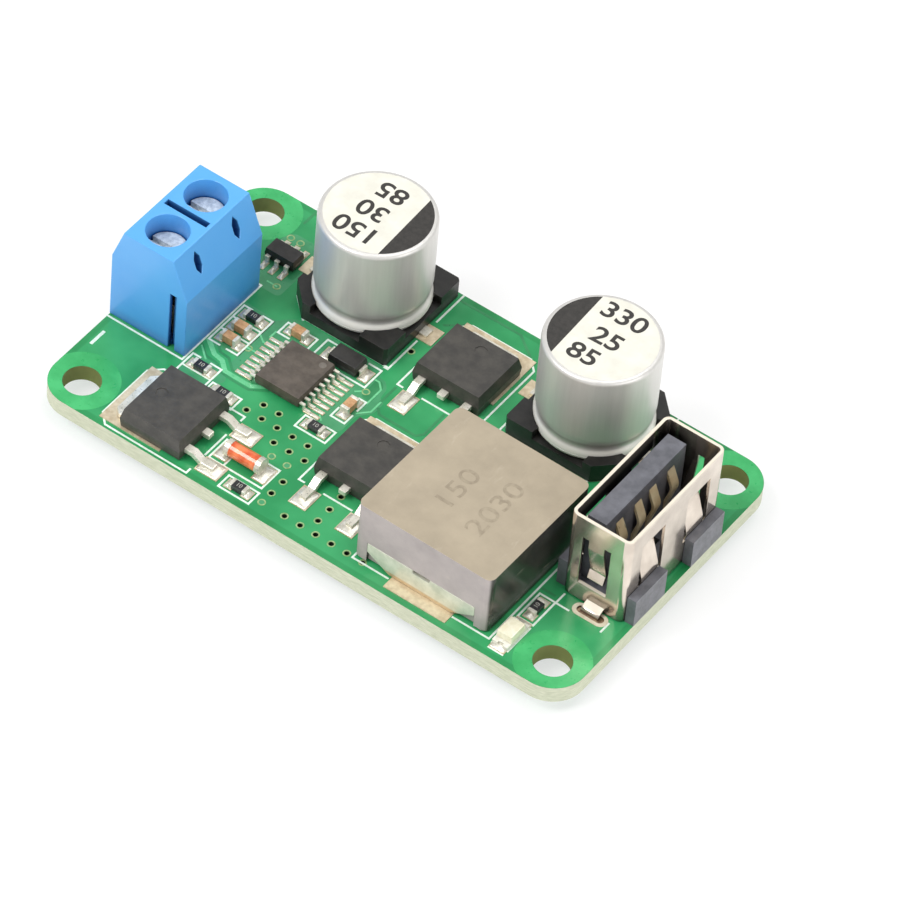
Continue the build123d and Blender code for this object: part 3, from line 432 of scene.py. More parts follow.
figure_grey = speckled("figure_grey", rgb(150, 148, 140), rgb(186, 184, 176), 0.3, 0.5, 0.0, 0.1, 0.004)


# Small builders; all sizes in millimetres
MITRE_LIMIT = 0.4
CORNER_SHARE = 0.45
CORNER_STEPS = 5
LINE_LEVELS = 9
LINE_LEVEL_STEP = 0.0006
LETTER_CURVE_STEPS = 6


def finish_mesh(name, bm, look, smooth=False):
    """Turn a bmesh into a piece of the module, with its material and finish."""
    bmesh.ops.recalc_face_normals(bm, faces=bm.faces)
    mesh = bpy.data.meshes.new(name)
    bm.to_mesh(mesh)
    bm.free()
    for polygon in mesh.polygons:
        polygon.use_smooth = smooth
    piece = bpy.data.objects.new(name, mesh)
    scene.collection.objects.link(piece)
    mesh.materials.append(look.material)
    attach(piece, BODY)
    return piece


def join_loops(bm, first, second):
    """Add the strip of faces between two closed rows of vertices."""
    count = len(first)
    for index in range(count):
        after = (index + 1) % count
        bm.faces.new((first[index], first[after], second[after], second[index]))


def add_prism(bm, outline, low, high):
    """Add a closed prism over an outline of (x, y) points."""
    bottom = [bm.verts.new((px * MM, py * MM, low * MM)) for px, py in outline]
    top = [bm.verts.new((px * MM, py * MM, high * MM)) for px, py in outline]
    bm.faces.new(top)
    bm.faces.new(list(reversed(bottom)))
    join_loops(bm, bottom, top)


def add_outline_ring(bm, outer, inner, low, high):
    """Add a flat ring between two outlines of equally many points."""
    loops = []
    for outline, level in ((inner, low), (outer, low), (outer, high), (inner, high)):
        loops.append([bm.verts.new((px * MM, py * MM, level * MM)) for px, py in outline])
    for first, second in zip(loops, loops[1:] + loops[:1]):
        join_loops(bm, first, second)


def circle(cx, cy, radius, sides):
    """The points of a circle."""
    angles = [2 * math.pi * index / sides for index in range(sides)]
    return [(cx + radius * math.cos(angle), cy + radius * math.sin(angle)) for angle in angles]


def add_stroke(bm, points, width, low, high, closed=False):
    """Add a line of even width with mitred corners."""
    count = len(points)
    half = width / 2
    left = []
    right = []
    for index in range(count):
        here = Vector(points[index])
        before = Vector(points[index - 1]) if (index > 0 or closed) else None
        after = Vector(points[(index + 1) % count]) if (index < count - 1 or closed) else None
        directions = []
        if before is not None:
            directions.append((here - before).normalized())
        if after is not None:
            directions.append((after - here).normalized())
        tangent = sum(directions, Vector((0, 0))).normalized()
        normal = Vector((-tangent.y, tangent.x))
        reach = half / max(normal.dot(Vector((-directions[0].y, directions[0].x))), MITRE_LIMIT)
        end = Vector((0, 0))
        if len(directions) == 1:
            end = tangent * half * (-1 if before is None else 1)
        left.append(here + normal * reach + end)
        right.append(here - normal * reach + end)
    spans = count if closed else count - 1
    for index in range(spans):
        after = (index + 1) % count
        quad = [left[index], left[after], right[after], right[index]]
        add_prism(bm, [(p.x, p.y) for p in quad], low, high)


def corner_arc(before, here, after, reach, steps):
    """The points of a soft corner, which starts and ends at one reach from the sharp one."""
    start = here + (before - here).normalized() * reach
    end = here + (after - here).normalized() * reach
    arc = []
    for step in range(steps + 1):
        t = step / steps
        arc.append(tuple(start * (1 - t) ** 2 + here * 2 * t * (1 - t) + end * t * t))
    return arc


def rounded(points, radius):
    """Round the corners of a closed outline."""
    out = []
    count = len(points)
    for index in range(count):
        here = Vector(points[index])
        before = Vector(points[index - 1])
        after = Vector(points[(index + 1) % count])
        reach = min(radius, (before - here).length * CORNER_SHARE, (after - here).length * CORNER_SHARE)
        out += corner_arc(before, here, after, reach, CORNER_STEPS)
    return out


def areas(name, outlines, low, high, look):
    """Make one piece of flat areas."""
    bm = bmesh.new()
    for outline in outlines:
        add_prism(bm, outline, low, high)
    finish_mesh(name, bm, look)


def strokes(name, lines, width, low, high, look):
    """Make one piece of lines, each at a level a little apart from its neighbours'."""
    bm = bmesh.new()
    for index, line in enumerate(lines):
        level = high + LINE_LEVEL_STEP * (index % LINE_LEVELS)
        if line[0] == line[-1]:
            add_stroke(bm, line[:-1], width, low, level, closed=True)
        else:
            add_stroke(bm, line, width, low, level)
    finish_mesh(name, bm, look)


def box_line(x0, y0, x1, y1):
    """A closed line round a box."""
    return [(x0, y0), (x1, y0), (x1, y1), (x0, y1), (x0, y0)]


def lettering(name, text, size, place, turn, depth, look, bold=0.0, wide=1.0):
    """Plain figures lying flat, centred on a place."""
    curve = bpy.data.curves.new(name, "FONT")
    curve.body = text
    curve.size = size * MM
    curve.align_x = "CENTER"
    curve.align_y = "CENTER"
    curve.extrude = depth * MM / 2
    curve.offset = bold * MM
    curve.resolution_u = LETTER_CURVE_STEPS
    piece = bpy.data.objects.new(name, curve)
    scene.collection.objects.link(piece)
    piece.location = Vector(place) * MM
    piece.rotation_euler = (0, 0, math.radians(turn))
    piece.scale = (wide, 1.0, 1.0)
    bpy.context.view_layer.update()
    graph = bpy.context.evaluated_depsgraph_get()
    mesh = bpy.data.meshes.new_from_object(piece.evaluated_get(graph))
    mesh.transform(piece.matrix_world)
    bpy.data.objects.remove(piece)
    solid = bpy.data.objects.new(name, mesh)
    scene.collection.objects.link(solid)
    mesh.materials.clear()
    mesh.materials.append(look.material)
    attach(solid, BODY)


# Areas without copper, the lines between copper areas, and tracks. Each kind has its own height
AREA_LOW = 1.595
AREA = 1.604
RING = 1.608
GAP = 1.6105
TRACK = 1.6165
VIA = 1.6235
round_controller = [
    (-15.2, 2.9), (-14.4, 3.8), (-13.6, 4.35), (-5.2, 4.35), (-5.0, 3.3), (-4.3, 3.3), (-3.7, 2.6),
    (-3.6, 1.5), (-3.0, 1.3), (-3.0, -0.2), (-3.9, -1.3), (-3.9, -3.4), (-4.3, -3.7), (-7.1, -3.6),
    (-8.3, -3.25), (-11.0, -3.25), (-12.4, -3.65), (-14.5, -3.65), (-15.2, -3.0),
]
terminal_side_upper = [(-18.3, 3.1), (-15.1, 3.0), (-15.1, -2.2), (-16.2, -2.3), (-18.3, -2.4)]
terminal_side_lower = [
    (-18.3, -3.9), (-15.3, -3.9), (-14.5, -4.5), (-14.25, -5.0), (-14.5, -5.5), (-15.1, -5.6),
    (-15.1, -7.2), (-18.3, -7.2),
]
dark_areas = [
    rounded(round_controller, 0.35),
    rounded(terminal_side_upper, 0.2),
    rounded(terminal_side_lower, 0.4),
]
areas("copper_free_areas", dark_areas, AREA_LOW, AREA, mid_mask)
sensor_island = [(-20.3, 5.2), (-16.55, 5.2), (-16.55, 10.4), (-17.7, 11.8), (-19.7, 11.8), (-20.3, 11.2)]
areas("sensor_island", [rounded(sensor_island, 0.5)], AREA_LOW, AREA, mid_mask)
dark_gaps = [
    rounded([(-17.3, 9.3), (-16.75, 9.0), (-16.75, 7.4), (-17.4, 7.4)], 0.2),
    rounded([(-5.0, 3.0), (-4.5, 3.05), (-4.0, 2.6), (-3.9, 0.6), (-4.9, 0.7)], 0.3),
]
areas("dark_gaps", dark_gaps, AREA_LOW, AREA + 0.002, dark_mask)
gaps = [
    [(-17.05, -2.1), (-16.55, -2.6), (-15.6, -2.7), (-14.55, -3.6), (-12.5, -3.6), (-11.9, -3.4)],
    [
        (-18.25, -2.8), (-17.2, -3.65), (-16.0, -3.75), (-15.1, -4.35), (-13.9, -4.45), (-12.3, -4.45),
        (-11.0, -3.6),
    ],
    [(-5.0, 14.35), (1.15, 14.35), (3.1, 12.9)],
    [(-4.3, 11.3), (-3.1, 12.3)],
    [(1.45, 3.3), (1.45, 0.6), (1.0, 0.05), (-2.6, 0.05), (-3.0, 0.5)],
    [(-19.9, 14.9), (-19.9, 13.2)],
    [(-3.3, 3.2), (-3.3, 1.2)],
    [(18.3, -6.6), (19.4, -6.6)],
]
strokes("clearance_lines", gaps, 0.24, AREA_LOW, GAP, dark_mask)
tracks = [
    [(-18.0, -2.15), (-16.75, -3.1), (-15.85, -3.25), (-14.95, -4.05), (-12.35, -4.05), (-11.4, -3.35)],
    [(-18.1, -3.0), (-17.0, -3.95)],
    [(-5.0, 2.88), (-4.65, 2.88), (-4.05, 2.28), (-4.05, 0.4)],
    [(-3.27, 1.15), (-3.27, -0.15), (-4.05, -1.0)],
    [(-5.0, 1.35), (-5.55, 0.85)],
    [(-14.4, 2.0), (-14.4, 1.25), (-14.0, 1.1)],
    [(-15.2, 0.95), (-14.5, 0.45), (-14.0, 0.45)],
    [(-15.1, -0.85), (-14.0, -0.85)],
    [(-6.2, -3.05), (-5.85, -3.4)],
    [(-18.3, 6.06), (-17.4, 6.06)],
]
strokes("tracks", tracks[:1], 0.42, AREA_LOW, TRACK, light_mask)
strokes("fine_tracks", tracks[1:], 0.16, AREA_LOW, TRACK, light_mask)

# Rings round the mounting holes and at the vias
HOLE_RING_OUTER = 3.15
HOLE_RING_INNER = 1.62
HOLE_RING_SIDES = 96
VIA_PITCH = 1.53
VIA_INNER = 0.23
VIA_OUTER = 0.35
VIA_INNER_BELOW = 0.22
BARREL_INNER = 0.2
BARREL_OUTER = 0.245
BARREL_LOW = 0.05
PLUG_RADIUS = 0.25
PLUG_SIDES = 20
PLUG_LOW = 1.5
VIA_SIDES = 28
hole_points = [(sx * HOLE_X, sy * HOLE_Y) for sx in (-1, 1) for sy in (-1, 1)]


def on_board(px, py):
    """Whether a point lies on the board, just inside its edge and its round corners."""
    over_x = abs(px) - (BOARD_HALF_X - BOARD_CORNER)
    over_y = abs(py) - (BOARD_HALF_Y - BOARD_CORNER)
    if over_x > 0 and over_y > 0:
        return math.hypot(over_x, over_y) < BOARD_REACH
    return over_x < BOARD_REACH and over_y < BOARD_REACH


def hole_outline(px, py):
    """A circle round a mounting hole, kept on the board."""
    outer = []
    for index in range(HOLE_RING_SIDES):
        angle = 2 * math.pi * index / HOLE_RING_SIDES
        reach = HOLE_RING_OUTER
        while not on_board(px + reach * math.cos(angle), py + reach * math.sin(angle)):
            reach -= 0.01
        outer.append((px + reach * math.cos(angle), py + reach * math.sin(angle)))
    return outer


def hole_rings(name, low, high):
    """Make the rings round the four mounting holes on one side of the board."""
    bm = bmesh.new()
    for px, py in hole_points:
        inner = circle(px, py, HOLE_RING_INNER, HOLE_RING_SIDES)
        add_outline_ring(bm, hole_outline(px, py), inner, low, high)
    finish_mesh(name, bm, ring_mask)


def via_rings(name, places, inner, outer, low, high, look):
    """Make one piece of round rings of one size."""
    bm = bmesh.new()
    for px, py in places:
        add_outline_ring(bm, circle(px, py, outer, VIA_SIDES), circle(px, py, inner, VIA_SIDES), low, high)
    finish_mesh(name, bm, look)


hole_rings("hole_rings", AREA_LOW, RING)

# Rows of vias: the first place, how many, and the step from each to the next
via_points = []
for vx, vy, count, sx, sy in (
    (-11.09, -6.30, 5, VIA_PITCH, 0),
    (-10.35, -5.01, 2, VIA_PITCH, 0),
    (-7.29, -7.73, 3, VIA_PITCH, 0),
    (-6.53, -9.02, 2, VIA_PITCH, 0),
    (-4.20, -12.14, 2, 0, VIA_PITCH),
    (-1.95, -13.41, 6, VIA_PITCH, 0),
    (0.39, -12.13, 2, 0, VIA_PITCH),
    (0.30, -8.96, 1, 0, 0),
    (-4.67, 7.22, 1, 0, 0),
    (-17.36, 6.05, 1, 0, 0),
    (-19.75, 11.15, 2, 0.98, 0),
):
    via_points += [(vx + sx * i, vy + sy * i) for i in range(count)]
plugged = [(-6.53, -9.02), (-5.0, -9.02), (-17.36, 6.05), (-19.75, 11.15), (-18.77, 11.15)]
extra_vias = [(-4.86, 1.34), (-4.22, -13.39), (-15.0, -0.87)]
open_vias = [place for place in via_points if place not in plugged]
via_rings("via_rings", via_points + extra_vias, VIA_INNER, VIA_OUTER, AREA_LOW - 0.1, VIA, via_gold)
via_rings("via_barrels", open_vias, BARREL_INNER, BARREL_OUTER, BARREL_LOW, AREA_LOW - 0.02, via_dark)
via_plugs = [circle(px, py, PLUG_RADIUS, PLUG_SIDES) for px, py in plugged + extra_vias]
areas("via_plugs", via_plugs, PLUG_LOW, VIA - 0.004, mid_mask)

# Printed lines
SILK_LOW = 1.596
SILK = 1.625
SILK_WIDTH = 0.17
MARK_WIDTH = 0.28
silk_lines = [
    [(-25.95, -5.22), (-18.4, -5.22), (-18.4, 5.35), (-25.95, 5.35)],
    [(-17.35, 2.71), (-18.12, 2.71), (-18.12, -2.05), (-17.05, -2.05)],
    [(-16.2, 2.71), (-15.25, 2.71), (-15.25, -2.05), (-16.3, -2.05)],
    [(-18.12, 1.15), (-17.5, 1.15)],
    [(-16.25, 1.15), (-15.25, 1.15)],
    [(-18.12, -0.45), (-17.5, -0.45)],
    [(-16.25, -0.45), (-15.25, -0.45)],
    [(-17.4, -4.12), (-18.12, -4.12), (-18.12, -7.1), (-15.25, -7.1), (-15.25, -4.12), (-16.3, -4.12)],
    [(-18.12, -5.58), (-15.25, -5.58)],
    [(-14.3, -5.65), (-14.95, -5.65), (-14.95, -7.1), (-12.07, -7.1), (-12.07, -5.65), (-13.2, -5.65)],
    [(-13.15, 2.05), (-14.23, 2.05), (-14.23, 3.45), (-13.6, 3.45)],
    [(-12.1, 3.45), (-11.27, 3.45), (-11.27, 2.05), (-12.1, 2.05)],
    [(-9.75, 3.98), (-10.62, 3.98), (-10.62, 1.64), (-9.9, 1.64)],
    [(-6.45, 3.98), (-5.23, 3.98), (-5.23, 1.64), (-7.95, 1.64)],
    [(-11.95, -3.3), (-8.65, -3.3)],
    [(-4.85, 0.41), (-4.16, 0.41), (-4.16, -0.75)],
    [(-4.16, -1.45), (-4.16, -2.52), (-5.52, -2.52), (-5.52, -1.45)],
    [(-6.2, -3.75), (-7.1, -3.75), (-7.1, -5.2), (-4.1, -5.2), (-4.1, -3.75), (-5.0, -3.75)],
    box_line(-10.35, -12.24, -5.1, -9.82),
    [(-8.9, -12.2), (-8.9, -9.85)],
    box_line(-7.92, -14.2, -4.93, -12.76),
    [(-13.5, 4.45), (-15.44, 6.3), (-15.44, 14.9)],
    [(-13.5, 4.6), (-5.15, 4.6)],
    [(-5.3, 4.45), (-4.98, 4.45), (-4.98, 8.4)],
    [(-4.98, 11.2), (-4.98, 14.9)],
    [(5.9, 4.5), (14.1, 4.5), (16.3, 6.6), (16.3, 14.9)],
    [(5.85, 4.5), (5.85, 8.4)],
    [(5.85, 11.3), (5.85, 14.9)],
    [(8.2, -13.47), (4.76, -13.47), (4.76, -12.4)],
    [(4.76, 0.5), (4.76, 0.9), (17.98, 0.9), (17.98, -13.47), (14.5, -13.47)],
    [(21.1, -7.17), (19.9, -7.17), (19.9, -6.0)],
    [(24.35, -7.35), (24.35, -6.3)],
    [(19.9, 8.5), (19.9, 9.0), (24.35, 9.0), (24.35, 8.2)],
    box_line(18.37, -10.2, 19.87, -7.16),
    [(18.45, -14.15), (19.75, -14.15)],
    [(18.37, -13.6), (18.37, -10.6), (19.87, -10.6), (19.87, -13.6)],
]


def transistor_outline(cx, cy, turn):
    """The printed outline of one power transistor: a line across its leads, and one round its tab."""
    cosine = math.cos(math.radians(turn))
    sine = math.sin(math.radians(turn))

    def put(points):
        """Turn points of the transistor and set them on the board."""
        return [(cx + px * cosine - py * sine, cy + px * sine + py * cosine) for px, py in points]

    across_leads = [(4.13, -1.35), (4.13, 1.35)]
    round_tab = [(4.13, 3.35), (4.13, 3.85), (-4.0, 3.85), (-4.95, 2.9)]
    round_tab += [(px, -py) for px, py in reversed(round_tab)]
    return [put(across_leads), put(round_tab)]


for place in ((-14.85, -10.85, 0), (0.45, 7.75, -90), (0.45, -5.45, -90)):
    silk_lines += transistor_outline(*place)
strokes("silkscreen_lines", silk_lines, SILK_WIDTH, SILK_LOW, SILK, silk)

# Plain polarity marks beside the terminal
strokes("minus_mark", [[(-25.1, -8.4), (-25.1, -6.9)]], MARK_WIDTH, SILK_LOW, SILK, silk)
strokes("plus_mark", [[(-25.1, 6.9), (-25.1, 8.4)]], MARK_WIDTH, SILK_LOW, SILK, silk)
strokes("plus_mark_bar", [[(-25.85, 7.65), (-24.35, 7.65)]], MARK_WIDTH, SILK_LOW, SILK - 0.002, silk)

# Cans: a drawn aluminium shell with a rounded rim, a necked groove and a rolled bead
CANS = {"input": (-10.45, 9.62, 1, 182.0), "output": (11.38, 9.95, -1, 2.0)}
CAN_SIDES = 128
PRINT_SIDES = 96
PRINT_TOP = CAN_TOP + 0.006
SEGMENT_TOP = CAN_TOP + 0.012
SEGMENT_CHORD = 2.5
SEGMENT_STEPS = 48
CAN_FIGURE_SIZE = 2.45
CAN_FIGURE_DEPTH = 0.012

# Corner of the profile, reach and steps. The last corners come first, so that the others keep their places
CAN_BENDS = ((6, 0.42, 8), (5, 0.45, 6), (4, 0.32, 8), (3, 0.26, 6), (2, 0.22, 6))


def bend(points, where, reach, steps):
    """Swap one corner of an open profile for a small arc."""
    before, here, after = [Vector(point) for point in points[where - 1:where + 2]]
    return points[:where] + corner_arc(before, here, after, reach, steps) + points[where + 1:]


def lathe(name, cx, cy, profile, look):
    """Turn (radius, height) points round an upright axis, on which the first and last of them lie."""
    bm = bmesh.new()
    rings = []
    for radius, level in profile:
        points = circle(cx, cy, radius, CAN_SIDES) if radius > 0 else [(cx, cy)]
        rings.append([bm.verts.new((px * MM, py * MM, level * MM)) for px, py in points])
    for index in range(CAN_SIDES):
        bm.faces.new((rings[0][0], rings[1][(index + 1) % CAN_SIDES], rings[1][index]))
    for first, second in zip(rings[1:], rings[2:-1]):
        join_loops(bm, first, second)
    for index in range(CAN_SIDES):
        bm.faces.new((rings[-2][index], rings[-2][(index + 1) % CAN_SIDES], rings[-1][0]))
    return finish_mesh(name, bm, look, smooth=True)


def can_shell(name, cx, cy):
    """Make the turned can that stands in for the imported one."""
    profile = [
        (0.0, CAN_SEAT),
        (BEAD_FOOT_RADIUS, CAN_SEAT),
        (BEAD_RADIUS, CAN_SEAT + 0.3),
        (BEAD_RADIUS, CAN_SEAT + 0.75),
        (NECK_RADIUS, NECK_LEVEL),
        (CAN_RADIUS, SHOULDER_LEVEL),
        (CAN_RADIUS, CAN_TOP),
        (CAN_RIM_RADIUS, CAN_TOP),
        (0.0, CAN_TOP),
    ]
    for corner in CAN_BENDS:
        profile = bend(profile, *corner)
    piece = lathe(name + "_can_shell", cx, cy, profile, can)
    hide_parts(name + "_capacitor_can")


def can_top(name, cx, cy, side, turn, rows):
    """Print a can's top: a pale disc, a dark segment on one side, and rows of plain figures."""
    bm = bmesh.new()
    add_prism(bm, circle(cx, cy, PRINT_RADIUS, PRINT_SIDES), CAN_TOP - 0.03, PRINT_TOP)
    finish_mesh(name + "_can_print", bm, cream)
    lean = math.radians(turn if side < 0 else turn - 180.0)
    reach = math.acos(SEGMENT_CHORD / PRINT_RADIUS)
    arc = []
    for step in range(SEGMENT_STEPS + 1):
        angle = -reach + 2 * reach * step / SEGMENT_STEPS
        px = side * PRINT_RADIUS * math.cos(angle)
        py = PRINT_RADIUS * math.sin(angle)
        along_x = px * math.cos(lean) - py * math.sin(lean)
        along_y = px * math.sin(lean) + py * math.cos(lean)
        arc.append((cx + along_x, cy + along_y))
    areas(name + "_can_segment", [arc], CAN_TOP, SEGMENT_TOP, ink)
    spin = math.radians(turn)
    for index, (text, right, down) in enumerate(rows):
        px = cx + (right * math.cos(spin) + down * math.sin(spin))
        py = cy + (right * math.sin(spin) - down * math.cos(spin))
        place = (px, py, CAN_TOP + 0.008)
        figures = f"{name}_can_figures_{index + 1}"
        lettering(figures, text, CAN_FIGURE_SIZE, place, turn, CAN_FIGURE_DEPTH, ink, 0.04, 1.12)


can_rows = {
    "input": (("150", 0.45, -2.5), ("30", 0.55, 0.0), ("85", 0.35, 2.55)),
    "output": (("330", 0.15, -2.8), ("25", 0.3, 0.0), ("85", -0.35, 2.45)),
}
for name, (cx, cy, side, turn) in CANS.items():
    can_shell(name, cx, cy)
    can_top(name, cx, cy, side, turn, can_rows[name])

# Solder: soft pillows on the lands, and cones round the pins below
LARGE_LAND = 6.5
SMALL_LAND = 1.0
NARROW_LAND = 0.45
PILLOW_MARGIN = 0.08
PILLOW_STEPS = 10
CONE_STEPS = 12
CONE_SIDES = 32
CONE_HOLLOW = 2.2
STADIUM_STEPS = 14


def islands(node):
    """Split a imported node's mesh into its separate solids, each as a list of points."""
    mesh = nodes[node].data
    bm = bmesh.new()
    bm.from_mesh(mesh)
    bmesh.ops.remove_doubles(bm, verts=bm.verts, dist=WELD_REACH)
    left = set(bm.verts)
    groups = []
    while left:
        start = left.pop()
        queue = [start]
        group = []
        while queue:
            vert = queue.pop()
            group.append(nodes[node].matrix_world @ vert.co / MM)
            for edge in vert.link_edges:
                other = edge.other_vert(vert)
                if other in left:
                    left.remove(other)
                    queue.append(other)
        groups.append(group)
    bm.free()
    return sorted(groups, key=lambda group: tuple(round(v, 3) for v in group_middle(group)))


def group_middle(group):
    """The middle of the box round some points."""
    return [(min(p[i] for p in group) + max(p[i] for p in group)) / 2 for i in range(3)]


def group_size(group):
    """The sizes of the box round some points."""
    return [max(p[i] for p in group) - min(p[i] for p in group) for i in range(3)]


def stadium(cx, cy, length, width):
    """An outline along X with two round ends."""
    out = []
    for side in (1, -1):
        for step in range(STADIUM_STEPS + 1):
            angle = side * math.pi / 2 - math.pi * step / STADIUM_STEPS
            px = cx + side * (length - width) / 2 + (width / 2) * math.cos(angle)
            out.append((px, cy + (width / 2) * math.sin(angle)))
    return out


def add_pillow(bm, cx, cy, size_x, size_y, low, rise):
    """Solder wetted on a land: thin at the edge and rising to the middle in a hollow slope."""
    steps = PILLOW_STEPS
    grid = []
    for row in range(steps + 1):
        line = []
        for column in range(steps + 1):
            u = 2 * column / steps - 1
            v = 2 * row / steps - 1
            inward = (1 - u * u) * (1 - v * v)
            level = low + rise * max(inward, 0.0) ** 1.2
            px = cx + u * size_x / 2
            py = cy + v * size_y / 2
            line.append(bm.verts.new((px * MM, py * MM, level * MM)))
        grid.append(line)
    for here, after in zip(grid, grid[1:]):
        for column in range(steps):
            bm.faces.new((here[column], here[column + 1], after[column + 1], after[column]))
    rim = [grid[0][c] for c in range(steps + 1)] + [grid[r][steps] for r in range(1, steps + 1)]
    rim += [grid[steps][c] for c in range(steps - 1, -1, -1)] + [grid[r][0] for r in range(steps - 1, 0, -1)]
    under = [bm.verts.new((v.co.x, v.co.y, (low - 0.02) * MM)) for v in rim]
    join_loops(bm, under, rim)
    bm.faces.new(list(reversed(under)))


bm = bmesh.new()
for group in islands("tinned_lands"):
    middle = group_middle(group)
    span = group_size(group)
    area = span[0] * span[1]
    if area > LARGE_LAND:
        continue
    rise = 0.24 if area < SMALL_LAND else 0.17
    if min(span[0], span[1]) < NARROW_LAND:
        rise = 0.05
    size_x = span[0] - PILLOW_MARGIN
    size_y = span[1] - PILLOW_MARGIN
    add_pillow(bm, middle[0], middle[1], size_x, size_y, LAND_TOP - 0.004, rise)
finish_mesh("solder_pillows", bm, solder, smooth=True)

bm = bmesh.new()
for group in islands("pin_solder"):
    middle = group_middle(group)
    span = group_size(group)
    low_z = min(p[2] for p in group)
    high_z = max(p[2] for p in group)
    tip = min(math.hypot(p[0] - middle[0], p[1] - middle[1]) for p in group if p[2] < low_z + 0.02)
    rings = []
    for step in range(CONE_STEPS + 1):
        t = step / CONE_STEPS
        reach = (1 - t) ** CONE_HOLLOW
        ring = []
        for index in range(CONE_SIDES):
            angle = 2 * math.pi * index / CONE_SIDES
            rx = tip + (span[0] / 2 - tip) * reach
            ry = tip + (span[1] / 2 - tip) * reach
            px = middle[0] + rx * math.cos(angle)
            py = middle[1] + ry * math.sin(angle)
            ring.append(bm.verts.new((px * MM, py * MM, (high_z + (low_z - high_z) * t) * MM)))
        rings.append(ring)
    for first, second in zip(rings, rings[1:]):
        join_loops(bm, first, second)
    bm.faces.new(rings[0])
    bm.faces.new(list(reversed(rings[-1])))
cones = finish_mesh("solder_cones", bm, solder, smooth=True)
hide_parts("pin_solder")

# Underside: tinned rings round the pins, and rings at the vias and the mounting holes
PIN_LAND_MARGIN = 0.5
PIN_LAND_OVERLAP = 0.3
bm = bmesh.new()
for group in islands("pin_solder"):
    middle = group_middle(group)
    span = group_size(group)
    outer = stadium(middle[0], middle[1], span[0] + PIN_LAND_MARGIN, span[1] + PIN_LAND_MARGIN)
    inner = stadium(middle[0], middle[1], span[0] - PIN_LAND_OVERLAP, span[1] - PIN_LAND_OVERLAP)
    add_outline_ring(bm, outer, inner, -0.02, 0.004)
finish_mesh("pin_lands", bm, pale_tin)
via_rings("via_rings_below", open_vias, VIA_INNER_BELOW, VIA_OUTER, -0.01, 0.01, via_gold)
hole_rings("hole_rings_below", -0.008, 0.005)

# Oval lands round the socket's legs, and the flux in their slots
LEG_X = 22.7
SLOT_X = 22.65
LEG_YS = (-6.4, 8.0)
LEG_PUSH = 0.08
LEG_LAND_TOP = 1.65
bm = bmesh.new()
for cy, push in zip(LEG_YS, (-LEG_PUSH, LEG_PUSH)):
    outer = stadium(LEG_X, cy + push, 3.2, 1.3)
    inner = stadium(LEG_X, cy + push * 0.5, 2.5, 0.76)
    add_outline_ring(bm, outer, inner, AREA_LOW, LEG_LAND_TOP)
finish_mesh("leg_lands", bm, pale_tin)
areas("leg_flux", [stadium(SLOT_X, cy, 2.68, 0.86) for cy in LEG_YS], 1.2, 1.52, flux)

# A flat round mark by the controller's first lead
MARK_INSET = 0.75
controller = nodes["controller_body"]
controller_points = [controller.matrix_world @ vertex.co / MM for vertex in controller.data.vertices]
mark_x = max(point.x for point in controller_points) - MARK_INSET
mark_y = max(point.y for point in controller_points) - MARK_INSET
mark_z = max(point.z for point in controller_points)
areas("controller_mark", [circle(mark_x, mark_y, 0.32, 32)], mark_z - 0.02, mark_z + 0.002, package_mark)

# Plain faint figures on the inductor's top and on the chip resistors
FIGURE_LIFT = 0.002
FIGURE_DEPTH = 0.006
INDUCTOR_FIGURE_SIZE = 2.4
INDUCTOR_TURN = 89.5
for index, (figures, px, py) in enumerate((("150", 9.85, -7.1), ("2030", 13.4, -6.9))):
    name = f"inductor_figures_{index + 1}"
    place = (px, py, INDUCTOR_TOP + FIGURE_LIFT)
    lettering(name, figures, INDUCTOR_FIGURE_SIZE, place, INDUCTOR_TURN, FIGURE_DEPTH, figure_tan, 0.01, 1.35)
for index, group in enumerate(islands("chip_resistor_bodies")):
    middle = group_middle(group)
    span = group_size(group)
    top = max(p[2] for p in group)
    place = (middle[0], middle[1], top + FIGURE_LIFT)
    turn = 90 if span[1] > span[0] else 0
    lettering(f"resistor_figures_{index + 1}", "10", 0.55, place, turn, FIGURE_DEPTH, figure_grey)

# Camera, from the photograph's perspective, in metres and degrees
CAMERA_LENS = 270.79
CAMERA_PLACE = (0.19426, -0.30697, 0.40126)
CAMERA_ANGLES = (41.9971, -3.8362, 35.9870)
camera_data = bpy.data.cameras.new("camera")
camera_data.sensor_width = 36.0
camera_data.lens = CAMERA_LENS
camera_data.clip_start = 0.01
camera_data.clip_end = 10.0
camera = bpy.data.objects.new("camera", camera_data)
scene.collection.objects.link(camera)
camera.location = CAMERA_PLACE
camera.rotation_euler = [math.radians(angle) for angle in CAMERA_ANGLES]
scene.camera = camera

# Pale floor under the pin tips, paler still where the camera sees it
FLOOR_HALF = 1.5
FLOOR_GAP = 0.00002
FLOOR_GLOW = 0.65
floor_mesh = bpy.data.meshes.new("floor")
bm = bmesh.new()
bmesh.ops.create_grid(bm, x_segments=1, y_segments=1, size=FLOOR_HALF)
bm.to_mesh(floor_mesh)
bm.free()
floor = bpy.data.objects.new("floor", floor_mesh)
floor.location = (0, 0, cad_low.z - FLOOR_GAP)
scene.collection.objects.link(floor)
floor_look = bpy.data.materials.new("floor_white")
floor_look.use_nodes = True
floor_tree = floor_look.node_tree
floor_shader = floor_tree.nodes["Principled BSDF"]
floor_shader.inputs["Base Color"].default_value = (0.94, 0.94, 0.94, 1)
floor_shader.inputs["Roughness"].default_value = 0.9
floor_glow = floor_tree.nodes.new("ShaderNodeEmission")
floor_path = floor_tree.nodes.new("ShaderNodeLightPath")
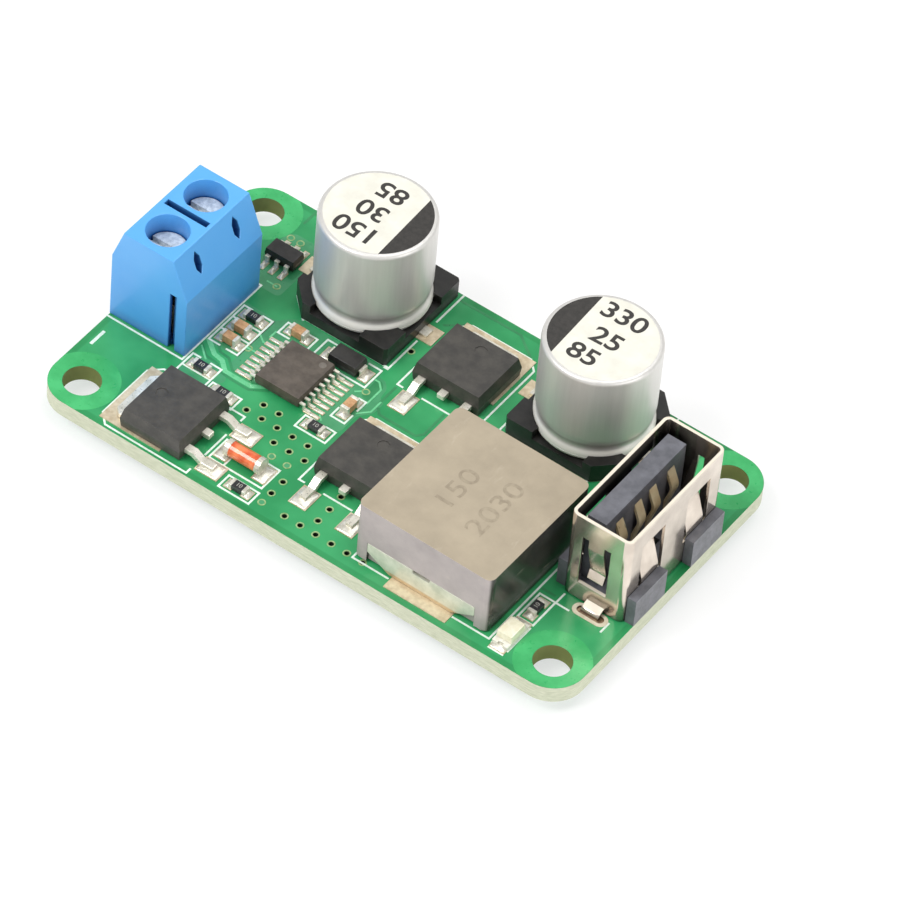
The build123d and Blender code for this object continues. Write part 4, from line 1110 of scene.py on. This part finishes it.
floor_part = floor_tree.nodes.new("ShaderNodeMath")
floor_part.operation = "MULTIPLY"
floor_part.inputs[1].default_value = FLOOR_GLOW
floor_mix = floor_tree.nodes.new("ShaderNodeMixShader")
floor_tree.links.new(floor_path.outputs["Is Camera Ray"], floor_part.inputs[0])
floor_tree.links.new(floor_part.outputs[0], floor_mix.inputs["Fac"])
floor_tree.links.new(floor_shader.outputs[0], floor_mix.inputs[1])
floor_tree.links.new(floor_glow.outputs[0], floor_mix.inputs[2])
floor_tree.links.new(floor_mix.outputs[0], floor_tree.nodes["Material Output"].inputs["Surface"])
floor_mesh.materials.append(floor_look)

# Soft studio light; the world is white to the camera and through glass, weaker as light and in reflections
WORLD_LIGHT = 0.62
WORLD_SEEN = 1.0
world = bpy.data.worlds.new("studio")
scene.world = world
world.use_nodes = True
tree = world.node_tree
background = tree.nodes["Background"]
background.inputs["Color"].default_value = (1, 1, 1, 1)
path = tree.nodes.new("ShaderNodeLightPath")
seen = tree.nodes.new("ShaderNodeMath")
seen.operation = "MAXIMUM"
tree.links.new(path.outputs["Is Camera Ray"], seen.inputs[0])
tree.links.new(path.outputs["Is Transmission Ray"], seen.inputs[1])
strength = tree.nodes.new("ShaderNodeMapRange")
strength.inputs["To Min"].default_value = WORLD_LIGHT
strength.inputs["To Max"].default_value = WORLD_SEEN
tree.links.new(seen.outputs[0], strength.inputs["Value"])
tree.links.new(strength.outputs["Result"], background.inputs["Strength"])


def lamp(name, place, size, power):
    """A square lamp that faces the middle of the board."""
    data = bpy.data.lights.new(name, "AREA")
    data.shape = "SQUARE"
    data.size = size
    data.energy = power
    light = bpy.data.objects.new(name, data)
    scene.collection.objects.link(light)
    light.location = place
    light.rotation_euler = (-Vector(place)).to_track_quat("-Z", "Y").to_euler()


lamp("key", (-0.25, -0.35, 0.6), 0.35, 3.2)
lamp("top", (0.05, 0.25, 0.7), 0.4, 1.6)
lamp("side", (0.6, -0.05, 0.22), 0.4, 1.3)

scene.view_settings.view_transform = "Standard"
